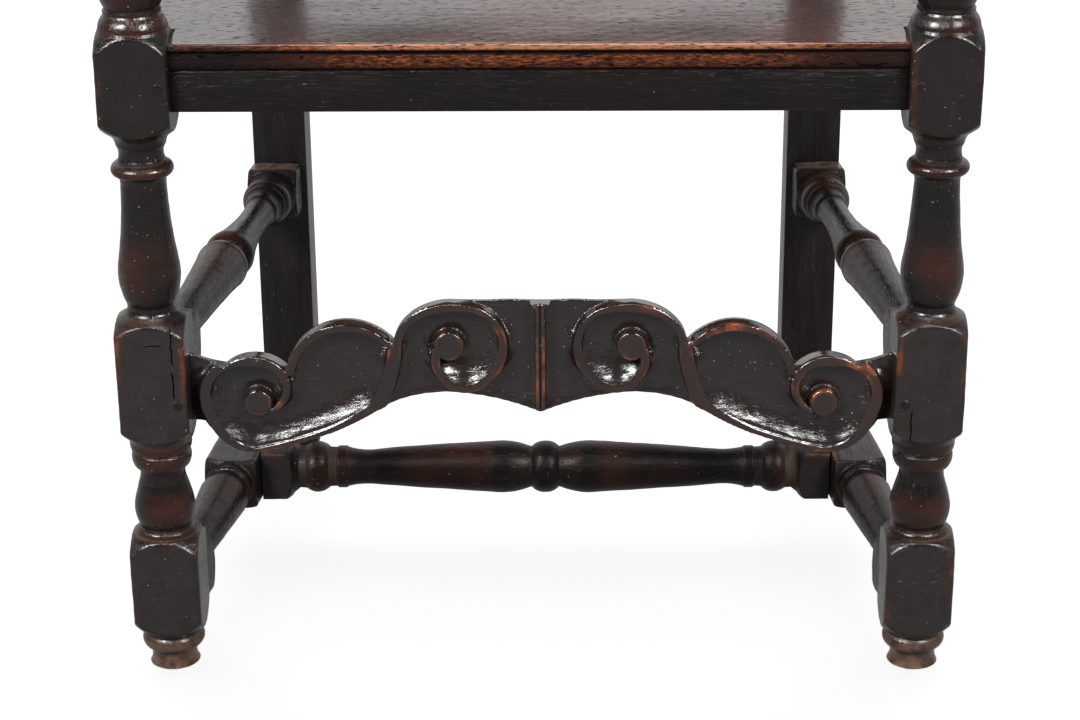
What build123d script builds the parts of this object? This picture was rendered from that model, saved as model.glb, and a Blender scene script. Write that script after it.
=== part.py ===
from build123d import *
from math import atan, cos, radians, sin, sqrt, tan
import os

# A joined oak armchair (wainscot chair) of about 1680. X runs to the sitter's left hand side
# seen from the front (to the right of a viewer in front), Y runs back, Z runs up. The origin
# is on the floor in the middle of the overall box. Everything is in millimetres.

# ---------------------------------------------------------------- frame of the chair
front_width = 600.0          # over the two front posts
rear_width = 494.0           # over the two rear posts
frame_depth = 452.0          # front face of the front posts to back face of the rear legs
post = 50.0                  # stock of the front posts
stile = 44.0                 # stock of the rear posts
rake = 7.0                   # lean of the back above the seat, degrees
fit = 0.1                    # clearance round every tenon, peg and shoulder

# ---------------------------------------------------------------- heights of the front posts
foot_block = (46.0, 90.5)    # the square blocks, corner to corner of their sides
mid_block = (198.5, 262.0)
block_below_rail = 3.0       # the top block reaches this far below the seat rails
block_above_rail = 7.0       # and this far above them
low_arch = 16.0              # rise of a block's arched shoulder, foot block
mid_arch = 13.4              # the same, middle block
top_arch = (13.0, 18.4)      # the same, top block, below and above

# ---------------------------------------------------------------- seat
seat_height = 477.0          # top of the seat boards
board = 19.0                 # thickness of the seat boards
rail_height = 28.5
rail = 25.0                  # thickness of the seat rails
rail_setback = 10.0          # front rail behind the faces of the front posts
nosing = 2.0                 # the seat's front edge ahead of the front rail
side_overhang = 6.0          # the seat's sides beyond the side rails
back_overhang = 4.0          # the seat's back edge behind the back rail
front_board = 205.0          # depth of the front board

# ---------------------------------------------------------------- stretchers
stretcher = 42.0             # stock of the turned stretchers
upper_height = 242.0         # centre of the upper side stretchers
lower_height = 58.5          # centre of the lower side stretchers and the cross stretcher
cross_back = 239.0           # cross stretcher behind the front faces of the front posts
end_block = (16.0, 23.5)     # square front end of a side stretcher: corner, arch
rear_block = (14.5, 24.0)    # square rear end of a side stretcher: corner, arch
middle_block = (29.0, 36.0)  # half of the lower stretchers' middle block: corner, arch
cross_block = (15.0, 23.0)   # square end of the cross stretcher: corner, arch
carved_board = 20.0          # thickness of the carved front stretcher
carved_setback = 10.0        # its face behind the faces of the front posts
relief = 5.5                 # depth of its carved ground
lobe_step = 2.0              # drop from the bands to the outer lobes' rims
lobe_hollow = 3.2            # depth of the outer lobes' hollows below their rims
band = 6.5                   # width of its raised scroll bands

# ---------------------------------------------------------------- arms
arm_height = 712.0           # top of the arm over the front post
arm_depth = 34.0             # height of the arm's section over the post
arm_rise = 33.0              # the arm's top at the stile above its top at the post
arm_width = 46.0             # width of the arm over the post
arm_rear_width = 36.0
arm_nose = 30.0              # the arm's scroll ahead of the front posts
nose_radius = 21.0

# ---------------------------------------------------------------- back
bend_above_seat = 10.0       # where the rear posts begin to lean
finial_height = 58.0
back_rail = 26.0             # thickness of the back's rails
back_setback = 3.0           # the back's rails behind the faces of the stiles
gap_above_seat = 105.0       # open space under the back's bottom rail
bottom_rail_height = 62.0
top_rail_height = 70.0
panel_height = 300.0         # sight height of the panel
panel = 11.0                 # thickness of the panel
panel_tongue = 6.0           # thickness of the panel's edge in its grooves
feather = 26.0               # width of the bevels behind the panel's edges
groove = 8.0                 # depth of the panel's grooves
crest_board = 22.0           # thickness of the crest rail
crest_height = 92.0
stile_above_rail = 63.0      # square part of the stiles above the top rail

# ---------------------------------------------------------------- joints and pegs
tenon = 10.0                 # thickness of every tenon
tenon_length = 28.0
tenon_shoulder = 3.0         # step from a member's edge to its tenon
wall = 2.0                   # wood left between two tenons that share a post
root = 2.0                   # a tenon starts this far inside its own member
peg_radius = 3.7
peg_stand = 0.3              # pegs stand proud of the wood by this
post_tenon_radius = 11.0     # round tenon on top of a front post
post_tenon_height = 24.0

# ---------------------------------------------------------------- places worked out from these
lean = radians(rake)
bottom_rail_low = gap_above_seat - bend_above_seat
panel_low = bottom_rail_low + bottom_rail_height
panel_top = panel_low + panel_height
crest_low = panel_top + top_rail_height
stile_length = crest_low + stile_above_rail
front_y = -(frame_depth + stile_length * sin(lean) - arm_nose) / 2
post_x = front_width / 2 - post / 2
post_y = front_y + post / 2
post_inner_x = front_width / 2 - post
post_back_y = front_y + post
leg_x = rear_width / 2 - stile / 2
leg_back_y = front_y + frame_depth
leg_front_y = leg_back_y - stile
leg_y = leg_back_y - stile / 2
leg_inner_x = rear_width / 2 - stile
side_slope = (post_x - leg_x) / (leg_y - post_y)
side_angle = atan(side_slope)
rail_top = seat_height - board
rail_low = rail_top - rail_height
rail_middle = rail_top - rail_height / 2
top_block = (rail_low - block_below_rail, rail_top + block_above_rail)
seat_front_y = front_y + rail_setback - nosing
cross_y = front_y + cross_back
arm_low = arm_height - arm_depth
bend_height = seat_height + bend_above_seat
bow = "bow"                  # marks the point that an arc passes through

# the leaning back: X across, Y up the slope, Z towards the sitter, from the back face
back_plane = Plane(
    origin=(0, leg_back_y, bend_height),
    x_dir=(1, 0, 0),
    z_dir=(0, -cos(lean), sin(lean)),
)


def side_x(y):
    """Distance from the middle of the chair to the middle of a side member."""
    return post_x - side_slope * (y - post_y)


def along_side(y):
    """Distance along a side member from the front post's back face."""
    return (y - post_back_y) / cos(side_angle)


def side_plane(side, height):
    """Plane through a side member: X is up, Y runs back along the member."""
    back = Vector(-side * sin(side_angle), cos(side_angle), 0)
    up = Vector(0, 0, 1)
    start = (side * side_x(post_back_y), post_back_y, height)
    return Plane(origin=start, x_dir=up, z_dir=up.cross(back))


# ---------------------------------------------------------------- turning
# A turned outline is a list of (place, radius), and a third word marks an arc's middle point.
# The recipes give shares of the turned length and of half the stock.
foot_turning = [
    (0.0, 0.745), (0.25, 0.67), (0.436, 0.72), (0.52, 0.88), (0.64, 0.91), (0.76, 0.89),
    (0.84, 0.82), (1.0, 1.0),
]
lower_turning = [
    (0.0, 1.0), (0.015, 0.87), (0.055, 0.85), (0.077, 0.73),
    (0.215, 0.868, bow), (0.354, 0.84), (0.55, 0.675), (0.64, 0.652), (0.685, 0.68),
    (0.69, 0.79), (0.75, 0.85), (0.825, 0.845), (0.84, 0.80), (0.86, 0.875), (0.94, 0.90),
    (1.0, 1.0),
]
upper_turning = [
    (0.0, 1.0), (0.021, 0.81), (0.05, 0.70), (0.075, 0.69),
    (0.165, 0.85, bow), (0.293, 0.853), (0.467, 0.728, bow), (0.72, 0.634), (0.755, 0.65),
    (0.762, 0.72), (0.778, 0.85), (0.797, 0.868), (0.816, 0.85), (0.83, 0.70),
    (0.85, 0.64), (0.89, 0.625), (0.925, 0.69), (0.98, 0.84), (1.0, 1.0),
]
support_turning = [
    (0.0, 1.0), (0.004, 0.96), (0.032, 0.95), (0.042, 0.76),
    (0.105, 0.895, bow), (0.19, 0.86), (0.37, 0.68, bow), (0.56, 0.60),
    (0.575, 0.66), (0.59, 0.82), (0.615, 0.86), (0.64, 0.82), (0.655, 0.66),
    (0.70, 0.60), (0.76, 0.68), (0.83, 0.80), (0.90, 0.66), (0.91, 0.76), (0.955, 0.88),
    (1.0, 0.86),
]
upper_front_turning = [
    (0.0, 1.0), (0.03, 0.80), (0.07, 0.69), (0.11, 0.66),
    (0.55, 0.775, bow), (0.965, 0.955), (0.985, 0.84), (1.0, 0.84),
]
upper_rear_turning = [
    (0.0, 0.84), (0.015, 0.84), (0.035, 0.955), (0.33, 0.69, bow), (0.72, 0.575),
    (0.745, 0.66), (0.80, 0.70), (0.83, 0.82), (0.86, 0.93), (0.91, 0.94), (0.94, 0.84),
    (0.96, 0.84), (1.0, 1.0),
]
lower_front_turning = [
    (0.0, 1.0), (0.03, 0.80), (0.08, 0.69), (0.13, 0.66),
    (0.50, 0.80, bow), (0.83, 0.935), (0.845, 0.80), (0.89, 0.73), (0.94, 0.82),
    (0.95, 0.91), (0.985, 0.91), (1.0, 1.0),
]
cross_turning = [
    (0.0, 0.995), (0.03, 0.95), (0.05, 0.84), (0.056, 0.79),
    (0.115, 0.965, bow), (0.20, 0.99), (0.44, 0.86, bow), (0.668, 0.69),
    (0.76, 0.70), (0.785, 0.77), (0.79, 0.82), (0.822, 0.82), (0.83, 0.76), (0.857, 0.78),
    (0.87, 0.93), (0.904, 0.99), (0.938, 0.93), (0.95, 0.84), (0.976, 0.81), (1.0, 1.0),
]
finial_turning = [
    (0.0, 0.84), (0.06, 0.90), (0.12, 0.80), (0.16, 0.56), (0.24, 0.47), (0.32, 0.50),
    (0.34, 0.62), (0.58, 0.76, bow), (0.82, 0.46), (0.87, 0.35), (0.96, 0.33), (1.0, 0.12),
]


def turned(recipe, low, high, radius):
    """A recipe laid out between two places on the axis."""
    return [(low + n[0] * (high - low), radius * n[1]) + n[2:] for n in recipe]


def flipped(recipe):
    """The same turning seen from its other end."""
    return [(1 - n[0],) + n[1:] for n in reversed(recipe)]


def squared(low, high, low_arch_rise, high_arch_rise, stock):
    """A square block between its corners: the turning runs out over its arched shoulders."""
    half = stock / 2
    clear = half * sqrt(2) + 1
    shoulder = half + 0.62 * (clear - half)
    outline = []
    if low_arch_rise:
        outline += [(low - low_arch_rise, half), (low - low_arch_rise / 2, shoulder, bow)]
    outline += [(low, clear), (high, clear)]
    if high_arch_rise:
        outline += [(high + high_arch_rise / 2, shoulder, bow), (high + high_arch_rise, half)]
    return outline


def draw_turning(outline):
    """Draw the outline and close it along the axis, radius across and length up."""
    corners = [i for i, n in enumerate(outline) if len(n) == 2]
    for a, b in zip(corners, corners[1:]):
        start = (outline[a][1], outline[a][0])
        end = (outline[b][1], outline[b][0])
        if start == end:
            continue
        if b - a == 2:
            ThreePointArc(start, (outline[a + 1][1], outline[a + 1][0]), end)
        else:
            Line(start, end)
    first = outline[0]
    last = outline[-1]
    Polyline((last[1], last[0]), (0, last[0]), (0, first[0]), (first[1], first[0]))


def turn(plane, outline, stock):
    """Turn the outline about the plane's Y axis out of square stock."""
    with BuildSketch(plane) as section:
        with BuildLine():
            draw_turning(outline)
        make_face()
    revolve(section.sketch, axis=Axis(plane.origin, plane.y_dir))
    low = outline[0][0]
    high = outline[-1][0]
    square = Plane(origin=plane.origin, x_dir=plane.x_dir, z_dir=plane.y_dir)
    with BuildSketch(square.offset(low)) as end:
        Rectangle(stock, stock)
    extrude(end.sketch, amount=high - low, mode=Mode.INTERSECT)


# ---------------------------------------------------------------- boxes, tenons and pegs
def box(plane, low, high, grow=0.0, mode=Mode.ADD):
    """Box between two corners in the plane's own directions, grown all round."""
    with BuildSketch(plane.offset(low[2] - grow)) as end:
        with Locations(((low[0] + high[0]) / 2, (low[1] + high[1]) / 2)):
            Rectangle(abs(high[0] - low[0]) + 2 * grow, high[1] - low[1] + 2 * grow)
    extrude(end.sketch, amount=high[2] - low[2] + 2 * grow, mode=mode)


def add_tenons(tenons):
    for plane, low, high in tenons:
        box(plane, low, high)


def cut_mortices(tenons):
    for plane, low, high in tenons:
        box(plane, low, high, grow=fit, mode=Mode.SUBTRACT)


def cylinder(start, direction, length, radius, mode=Mode.ADD):
    with BuildSketch(Plane(origin=start, z_dir=direction)) as end:
        Circle(radius)
    extrude(end.sketch, amount=length, mode=mode)


def riven(start, direction, length, radius, mode=Mode.ADD):
    """A peg is riven and shaved to eight flats, and its hole fits it."""
    with BuildSketch(Plane(origin=start, z_dir=direction)) as end:
        RegularPolygon(radius, side_count=8)
    extrude(end.sketch, amount=length, mode=mode)


def drill(pegs):
    """Holes for pegs, a little wider and deeper than the pegs, begun outside the wood."""
    for start, direction, length in pegs:
        mouth = Vector(start) - Vector(direction) * root
        riven(mouth, direction, length + root + fit, peg_radius + fit, Mode.SUBTRACT)


def make_pegs(pegs):
    """One solid for each peg, with its head just proud of the wood."""
    with BuildPart() as group:
        for start, direction, length in pegs:
            head = Vector(start) - Vector(direction) * peg_stand
            riven(head, direction, length + peg_stand, peg_radius)
    return group.part


def both_sides(one_side):
    return [one_side(1), one_side(-1)]


def across(side, inner, outer):
    """Order two distances from the middle for a box on one side of the chair."""
    return (inner, outer) if side > 0 else (-outer, -inner)


def side_tenon(side, y_face, depth, height, tall):
    """Tenon of a side member: it enters a post's face at y_face, and depth is signed."""
    x = side * side_x(y_face)
    y = sorted([y_face + depth, y_face - root * (1 if depth > 0 else -1)])
    low = (x - tenon / 2, y[0], height - tall / 2)
    high = (x + tenon / 2, y[1], height + tall / 2)
    return (Plane.XY, low, high)


def side_peg(side, post_face_x, y_face, depth, height):
    """Peg through a post from its outer side, across a side member's tenon."""
    start = (side * post_face_x, y_face + depth * 0.55, height)
    length = post_face_x - side_x(y_face) + tenon / 2 + wall
    return (start, (-side, 0, 0), length)


# front and back members stop short of the side members' tenons inside the same post
front_tenon_end = side_x(post_back_y) - tenon / 2 - wall
back_tenon_end = side_x(leg_front_y) - tenon / 2 - wall
rail_tenon_height = rail_height - 2 * tenon_shoulder
rail_y = front_y + rail_setback + rail / 2
carved_y = front_y + carved_setback + carved_board / 2
peg_step = rail_height / 6


def front_rail_tenon(side):
    x = across(side, post_inner_x - root, front_tenon_end)
    half = rail_tenon_height / 2
    low = (x[0], rail_y - tenon / 2, rail_middle - half)
    return (Plane.XY, low, (x[1], rail_y + tenon / 2, rail_middle + half))


def front_rail_peg(side):
    x = side * (post_inner_x + front_tenon_end) / 2
    length = rail_y - front_y + tenon / 2 + wall
    return ((x, front_y, rail_middle + peg_step), (0, 1, 0), length)


def back_rail_tenon(side):
    x = across(side, leg_inner_x - root, back_tenon_end)
    half = rail_tenon_height / 2
    low = (x[0], leg_y - tenon / 2, rail_middle - half)
    return (Plane.XY, low, (x[1], leg_y + tenon / 2, rail_middle + half))


def back_rail_peg(side):
    x = side * (leg_inner_x + back_tenon_end) / 2
    length = stile / 2 + tenon / 2 + wall
    return ((x, leg_back_y, rail_middle + peg_step), (0, -1, 0), length)


def side_rail_tenons(side):
    front = side_tenon(side, post_back_y, -tenon_length, rail_middle, rail_tenon_height)
    rear = side_tenon(side, leg_front_y, tenon_length, rail_middle, rail_tenon_height)
    return [front, rear]


def side_rail_pegs(side):
    height = rail_middle - peg_step
    front = side_peg(side, front_width / 2, post_back_y, -tenon_length, height)
    rear = side_peg(side, rear_width / 2, leg_front_y, tenon_length, height)
    return [front, rear]


stretcher_tenon_height = stretcher - 4 * tenon_shoulder


def stretcher_tenons(side, height):
    front = side_tenon(side, post_back_y, -tenon_length, height, stretcher_tenon_height)
    rear = side_tenon(side, leg_front_y, tenon_length, height, stretcher_tenon_height)
    return [front, rear]


def stretcher_pegs(side, height):
    front = side_peg(side, front_width / 2, post_back_y, -tenon_length, height)
    rear = side_peg(side, rear_width / 2, leg_front_y, tenon_length, height)
    return [front, rear]


carved_tenon = (mid_block[0] + tenon, mid_block[1] - 2.2 * tenon)


def carved_stretcher_tenon(side):
    x = across(side, post_inner_x - root, front_tenon_end)
    low = (x[0], carved_y - tenon / 2, carved_tenon[0])
    return (Plane.XY, low, (x[1], carved_y + tenon / 2, carved_tenon[1]))


def carved_stretcher_peg(side):
    x = side * (post_inner_x + front_tenon_end) / 2
    height = carved_tenon[0] + peg_radius * 2
    length = carved_y - front_y + tenon / 2 + wall
    return ((x, front_y, height), (0, 1, 0), length)


# the cross stretcher's tenon runs straight across into the lower side stretcher's middle block
middle_face_x = side_x(cross_y) - stretcher / 2 / cos(side_angle)
cross_tenon_length = stretcher * 0.62


def cross_tenon(side):
    x = across(side, middle_face_x - 2 * root, middle_face_x + cross_tenon_length)
    half = stretcher_tenon_height / 2
    low = (x[0], cross_y - tenon / 2, lower_height - half)
    return (Plane.XY, low, (x[1], cross_y + tenon / 2, lower_height + half))


def cross_peg(side):
    x = side * (middle_face_x + cross_tenon_length * 0.55)
    top = lower_height + stretcher / 2
    return ((x, cross_y, top), (0, 0, -1), stretcher * 0.75)


# ---------------------------------------------------------------- front posts
def front_post_outline():
    """Foot, three square blocks, the turnings between them and the arm support."""
    half = post / 2
    foot_top = foot_block[1] + low_arch
    middle_low = mid_block[0] - mid_arch
    middle_top = mid_block[1] + mid_arch
    top_low = top_block[0] - top_arch[0]
    top_top = top_block[1] + top_arch[1]
    outline = turned(foot_turning, 0, foot_block[0] - low_arch, half)
    outline += squared(*foot_block, low_arch, low_arch, post)[1:]
    outline += turned(lower_turning, foot_top, middle_low, half)[1:]
    outline += squared(*mid_block, mid_arch, mid_arch, post)[1:]
    outline += turned(upper_turning, middle_top, top_low, half)[1:]
    outline += squared(*top_block, *top_arch, post)[1:]
    outline += turned(support_turning, top_top, arm_low - fit, half)[1:]
    outline += [(arm_low - fit, post_tenon_radius), (arm_low + post_tenon_height, post_tenon_radius)]
    return outline


def make_front_post(side):
    centre = (side * post_x, post_y, 0)
    plane = Plane(origin=centre, x_dir=(1, 0, 0), z_dir=(0, -1, 0))
    with BuildPart() as one_post:
        turn(plane, front_post_outline(), post)
        cut_mortices([front_rail_tenon(side), carved_stretcher_tenon(side)])
        cut_mortices([side_rail_tenons(side)[0]])
        cut_mortices([stretcher_tenons(side, h)[0] for h in (upper_height, lower_height)])
        drill([front_rail_peg(side), carved_stretcher_peg(side), side_rail_pegs(side)[0]])
        drill([stretcher_pegs(side, h)[0] for h in (upper_height, lower_height)])
        drill([arm_post_peg(side)])
    return one_post.part


# ---------------------------------------------------------------- the leaning back's joints
rails_back = stile - back_setback - back_rail
rails_middle = rails_back + back_rail / 2
leg_tenon_end = leg_inner_x + stile * 0.62


def back_tenon(side, low, high):
    """Tenon of one of the back's members between two places up the slope."""
    x = across(side, leg_inner_x - root, leg_tenon_end)
    return (
        back_plane,
        (x[0], low + 2 * tenon_shoulder, rails_middle - tenon / 2),
        (x[1], high - 2 * tenon_shoulder, rails_middle + tenon / 2),
    )


def back_peg(side, up):
    """Peg through the stile's front face."""
    x = side * (leg_inner_x + leg_tenon_end) / 2
    start = back_plane.from_local_coords(Vector(x, up, stile))
    return (start, -back_plane.z_dir, stile - rails_middle + tenon / 2 + wall)


bottom_rail_top = bottom_rail_low + bottom_rail_height
crest_shoulder = crest_height * 0.42
back_members = [
    (bottom_rail_low, bottom_rail_top),
    (panel_top, panel_top + top_rail_height),
    (crest_low + fit, crest_low + crest_shoulder),
]


def back_tenons(side):
    return [back_tenon(side, low, high) for low, high in back_members]


def back_pegs(side):
    pegs = []
    for low, high in back_members[:2]:
        pegs.append(back_peg(side, low + (high - low) * 0.3))
        pegs.append(back_peg(side, low + (high - low) * 0.7))
    low, high = back_members[2]
    return pegs + [back_peg(side, (low + high) / 2)]


# ---------------------------------------------------------------- arms' joints
arm_rear_middle = arm_height + arm_rise - arm_depth * 0.62
stile_face_y = leg_front_y + (arm_rear_middle - bend_height) * tan(lean)
arm_tenon_up = (arm_rear_middle - bend_height) / cos(lean) - stile * tan(lean)
arm_tenon_height = arm_depth * 0.6
arm_tenon_depth = stile * 0.55
arm_stile_x = side_x(leg_front_y)


def arm_tenon(side):
    x = side * arm_stile_x
    low = (x - tenon / 2, arm_tenon_up - arm_tenon_height / 2, stile - arm_tenon_depth)
    high = (x + tenon / 2, arm_tenon_up + arm_tenon_height / 2, stile + root)
    return (back_plane, low, high)


def arm_stile_peg(side):
    start = back_plane.from_local_coords(
        Vector(side * rear_width / 2, arm_tenon_up, stile - arm_tenon_depth * 0.5)
    )
    length = rear_width / 2 - arm_stile_x + tenon / 2 + wall
    return (start, (-side, 0, 0), length)


def arm_post_peg(side):
    """Peg through the arm's outer side and the post's round tenon."""
    start = (side * (post_x + arm_width / 2), post_y, arm_low + post_tenon_height * 0.55)
    return (start, (-side, 0, 0), arm_width * 0.8)


# ---------------------------------------------------------------- rear posts
def make_rear_post(side):
    """Square leg, leaning stile and a turned finial."""
    top = back_plane.from_local_coords(Vector(0, stile_length, 0))
    top_front = back_plane.from_local_coords(Vector(0, stile_length, stile))
    front_bend = bend_height + stile * tan(lean / 2)
    finial_base = back_plane.from_local_coords(Vector(side * leg_x, stile_length, stile / 2))
    finial_plane = Plane(origin=finial_base, x_dir=(1, 0, 0), z_dir=back_plane.z_dir)
    with BuildPart() as rear_post:
        with BuildSketch(Plane.YZ.offset(side * leg_x - stile / 2)):
            with BuildLine():
                Polyline(
                    (leg_front_y, 0),
                    (leg_back_y, 0),
                    (leg_back_y, bend_height),
                    (top.Y, top.Z),
                    (top_front.Y, top_front.Z),
                    (leg_front_y, front_bend),
                    close=True,
                )
            make_face()
        extrude(amount=stile)
        bends = rear_post.edges().filter_by(Axis.X).filter_by_position(
            Axis.Z, bend_height - 1, front_bend + 1
        )
        fillet(bends, radius=stile * 2)
        with BuildSketch(finial_plane) as finial:
            with BuildLine():
                draw_turning(turned(finial_turning, 0, finial_height, stile / 2))
            make_face()
        revolve(finial.sketch, axis=Axis(finial_base, finial_plane.y_dir))
        cut_mortices([back_rail_tenon(side), side_rail_tenons(side)[1], arm_tenon(side)])
        cut_mortices([stretcher_tenons(side, h)[1] for h in (upper_height, lower_height)])
        cut_mortices(back_tenons(side))
        cut_mortices([panel_in_stile(side)])
        drill([back_rail_peg(side), side_rail_pegs(side)[1], arm_stile_peg(side)])
        drill([stretcher_pegs(side, h)[1] for h in (upper_height, lower_height)])
        drill(back_pegs(side))
    return rear_post.part


def panel_in_stile(side):
    """The edge of the panel that sits in a stile's groove."""
    x = across(side, leg_inner_x - root, leg_inner_x + groove)
    low = (x[0], panel_low - groove, rails_middle)
    return (back_plane, low, (x[1], panel_top + groove, rails_middle + panel_tongue))


# ---------------------------------------------------------------- seat frame
def make_front_rail():
    low = (-post_inner_x + fit, rail_y - rail / 2, rail_low)
    high = (post_inner_x - fit, rail_y + rail / 2, rail_top)
    with BuildPart() as front_rail:
        box(Plane.XY, low, high)
        add_tenons(both_sides(front_rail_tenon))
        drill(both_sides(front_rail_peg))
    return front_rail.part


def make_back_rail():
    low = (-leg_inner_x + fit, leg_y - rail / 2, rail_low)
    high = (leg_inner_x - fit, leg_y + rail / 2, rail_top)
    with BuildPart() as rear_rail:
        box(Plane.XY, low, high)
        add_tenons(both_sides(back_rail_tenon))
        drill(both_sides(back_rail_peg))
        drill(back_pins)
    return rear_rail.part


def trim_ends():
    """Shoulders of a side member, cut on the skew against the posts."""
    split(bisect_by=Plane(origin=(0, post_back_y + fit, 0), z_dir=(0, 1, 0)), keep=Keep.TOP)
    split(bisect_by=Plane(origin=(0, leg_front_y - fit, 0), z_dir=(0, -1, 0)), keep=Keep.TOP)


def make_side_rail(side):
    plane = side_plane(side, rail_middle)
    square = Plane(origin=plane.origin, x_dir=plane.x_dir, z_dir=plane.y_dir)
    with BuildPart() as side_rail:
        with BuildSketch(square.offset(-rail)):
            Rectangle(rail_height, rail)
        extrude(amount=along_side(leg_front_y) + 2 * rail)
        trim_ends()
        add_tenons(side_rail_tenons(side))
        drill(side_rail_pegs(side))
        drill(side_pins(side))
    return side_rail.part


# ---------------------------------------------------------------- seat boards and their pins
board_joint_y = seat_front_y + front_board
seat_back_y = leg_y + rail / 2 + back_overhang
pin_length = board + rail_height * 0.6
side_pin_places = [
    board_joint_y - 2.4 * rail, board_joint_y + 1.6 * rail, leg_front_y - 1.2 * rail
]


def side_pins(side):
    return [((side * side_x(y), y, seat_height), (0, 0, -1), pin_length) for y in side_pin_places]


back_pins = [
    ((x * leg_inner_x * 0.6, leg_y, seat_height), (0, 0, -1), pin_length) for x in (-1, 0, 1)
]


def seat_outline():
    """Plan of the seat: notched round the front posts and between the rear posts."""
    front_side = side_x(post_back_y) + rail / 2 + side_overhang
    rear_side = side_x(leg_front_y) + rail / 2 + side_overhang
    with BuildSketch(Plane.XY.offset(rail_top)) as plan:
        with BuildLine() as half:
            Polyline(
                (0, seat_front_y - nosing),
                (post_inner_x - fit, seat_front_y - nosing),
                (post_inner_x - fit, post_back_y + fit),
                (front_side, post_back_y + fit),
                (rear_side, leg_front_y - fit),
                (leg_inner_x - fit, leg_front_y - fit),
                (leg_inner_x - fit, seat_back_y),
                (0, seat_back_y),
                (0, seat_front_y - nosing),
            )
        make_face()
        mirror(about=Plane.YZ)
    return plan.sketch


def edge_profile(y_back):
    """Side view of the boards: the front edge is a worn fillet, a quirk and a long ovolo."""
    top = seat_height
    low = rail_top
    worn = board * 0.2
    quirk = board * 0.34
    with BuildSketch(Plane.YZ.offset(-front_width / 2)) as side_view:
        with BuildLine():
            ThreePointArc(
                (seat_front_y + worn, top),
                (seat_front_y + worn * 0.3, top - worn * 0.25),
                (seat_front_y, top - worn),
            )
            Line((seat_front_y, top - worn), (seat_front_y + nosing, top - quirk))
            ThreePointArc(
                (seat_front_y + nosing, top - quirk),
                (seat_front_y + nosing * 0.2, top - board * 0.62),
                (seat_front_y + nosing, low),
            )
            Polyline(
                (seat_front_y + nosing, low), (y_back, low), (y_back, top), (seat_front_y + worn, top)
            )
        make_face()
    return side_view.sketch


def make_front_board():
    with BuildPart() as front_seat_board:
        extrude(edge_profile(board_joint_y - fit), amount=front_width)
        extrude(seat_outline(), amount=board, mode=Mode.INTERSECT)
        drill(side_pins(1) + side_pins(-1))
    return front_seat_board.part


def make_back_board():
    with BuildPart() as back_seat_board:
        extrude(seat_outline(), amount=board)
        cut = Plane(origin=(0, board_joint_y, 0), z_dir=(0, 1, 0))
        split(bisect_by=cut, keep=Keep.TOP)
        drill(side_pins(1) + side_pins(-1) + back_pins)
    return back_seat_board.part


# ---------------------------------------------------------------- turned stretchers
def make_upper_stretcher(side):
    half = stretcher / 2
    end = along_side(leg_front_y)
    middle = end / 2
    outline = squared(-half, end_block[0], 0, end_block[1] - end_block[0], stretcher)
    outline += turned(upper_front_turning, end_block[1], middle, half)[1:]
    outline += turned(upper_rear_turning, middle, end - rear_block[1], half)[1:]
    rise = rear_block[1] - rear_block[0]
    outline += squared(end - rear_block[0], end + half, rise, 0, stretcher)[1:]
    with BuildPart() as upper_stretcher:
        turn(side_plane(side, upper_height), outline, stretcher)
        trim_ends()
        add_tenons(stretcher_tenons(side, upper_height))
        drill(stretcher_pegs(side, upper_height))
    return upper_stretcher.part


def make_lower_stretcher(side):
    half = stretcher / 2
    end = along_side(leg_front_y)
    middle = along_side(cross_y)
    arch = middle_block[1] - middle_block[0]
    outline = squared(-half, end_block[0], 0, end_block[1] - end_block[0], stretcher)
    outline += turned(lower_front_turning, end_block[1], middle - middle_block[1], half)[1:]
    outline += squared(middle - middle_block[0], middle + middle_block[0], arch, arch, stretcher)[1:]
    rear_turning = flipped(lower_front_turning)
    outline += turned(rear_turning, middle + middle_block[1], end - rear_block[1], half)[1:]
    rise = rear_block[1] - rear_block[0]
    outline += squared(end - rear_block[0], end + half, rise, 0, stretcher)[1:]
    with BuildPart() as lower_stretcher:
        turn(side_plane(side, lower_height), outline, stretcher)
        trim_ends()
        add_tenons(stretcher_tenons(side, lower_height))
        drill(stretcher_pegs(side, lower_height))
        cut_mortices([cross_tenon(side)])
        drill([cross_peg(side)])
    return lower_stretcher.part


def make_cross_stretcher():
    half = stretcher / 2
    turned_end = middle_face_x - cross_block[1]
    rise = cross_block[1] - cross_block[0]
    outline = turned(cross_turning, 0, turned_end, half)
    outline += squared(middle_face_x - cross_block[0], middle_face_x + half, rise, 0, stretcher)[1:]
    centre = (0, cross_y, lower_height)
    plane = Plane(origin=centre, x_dir=(0, 0, 1), z_dir=(0, 1, 0))
    shoulder = Plane(
        origin=(middle_face_x - fit, cross_y, 0), z_dir=(-cos(side_angle), -sin(side_angle), 0)
    )
    with BuildPart() as cross_member:
        turn(plane, outline, stretcher)
        split(bisect_by=shoulder, keep=Keep.TOP)
        mirror(about=Plane.YZ)
        add_tenons(both_sides(cross_tenon))
        drill(both_sides(cross_peg))
    return cross_member.part


# ---------------------------------------------------------------- carved front stretcher
# Half of the outline, as shares: X of half the clear width, Z of the middle block's height
# above its lower corner. The scrolls' centres and the band's line are given the same way.
carved_half = post_inner_x
carved_unit = mid_block[1] - mid_block[0]


def carved(x, z):
    """A place on the carved board from its shares."""
    return (x * carved_half, mid_block[0] + z * carved_unit)


def draw_stretches(place, stretches, join):
    """Straights (one point) and arcs (two points) in a row."""
    here = place(*stretches[0][0])
    for stretch in stretches[1:]:
        points = [place(*share) for share in stretch]
        if len(points) == 1:
            Line(here, points[0])
        else:
            ThreePointArc(here, points[0], points[1])
        here = points[-1]
    if join:
        Line(here, place(*stretches[0][0]))


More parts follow.
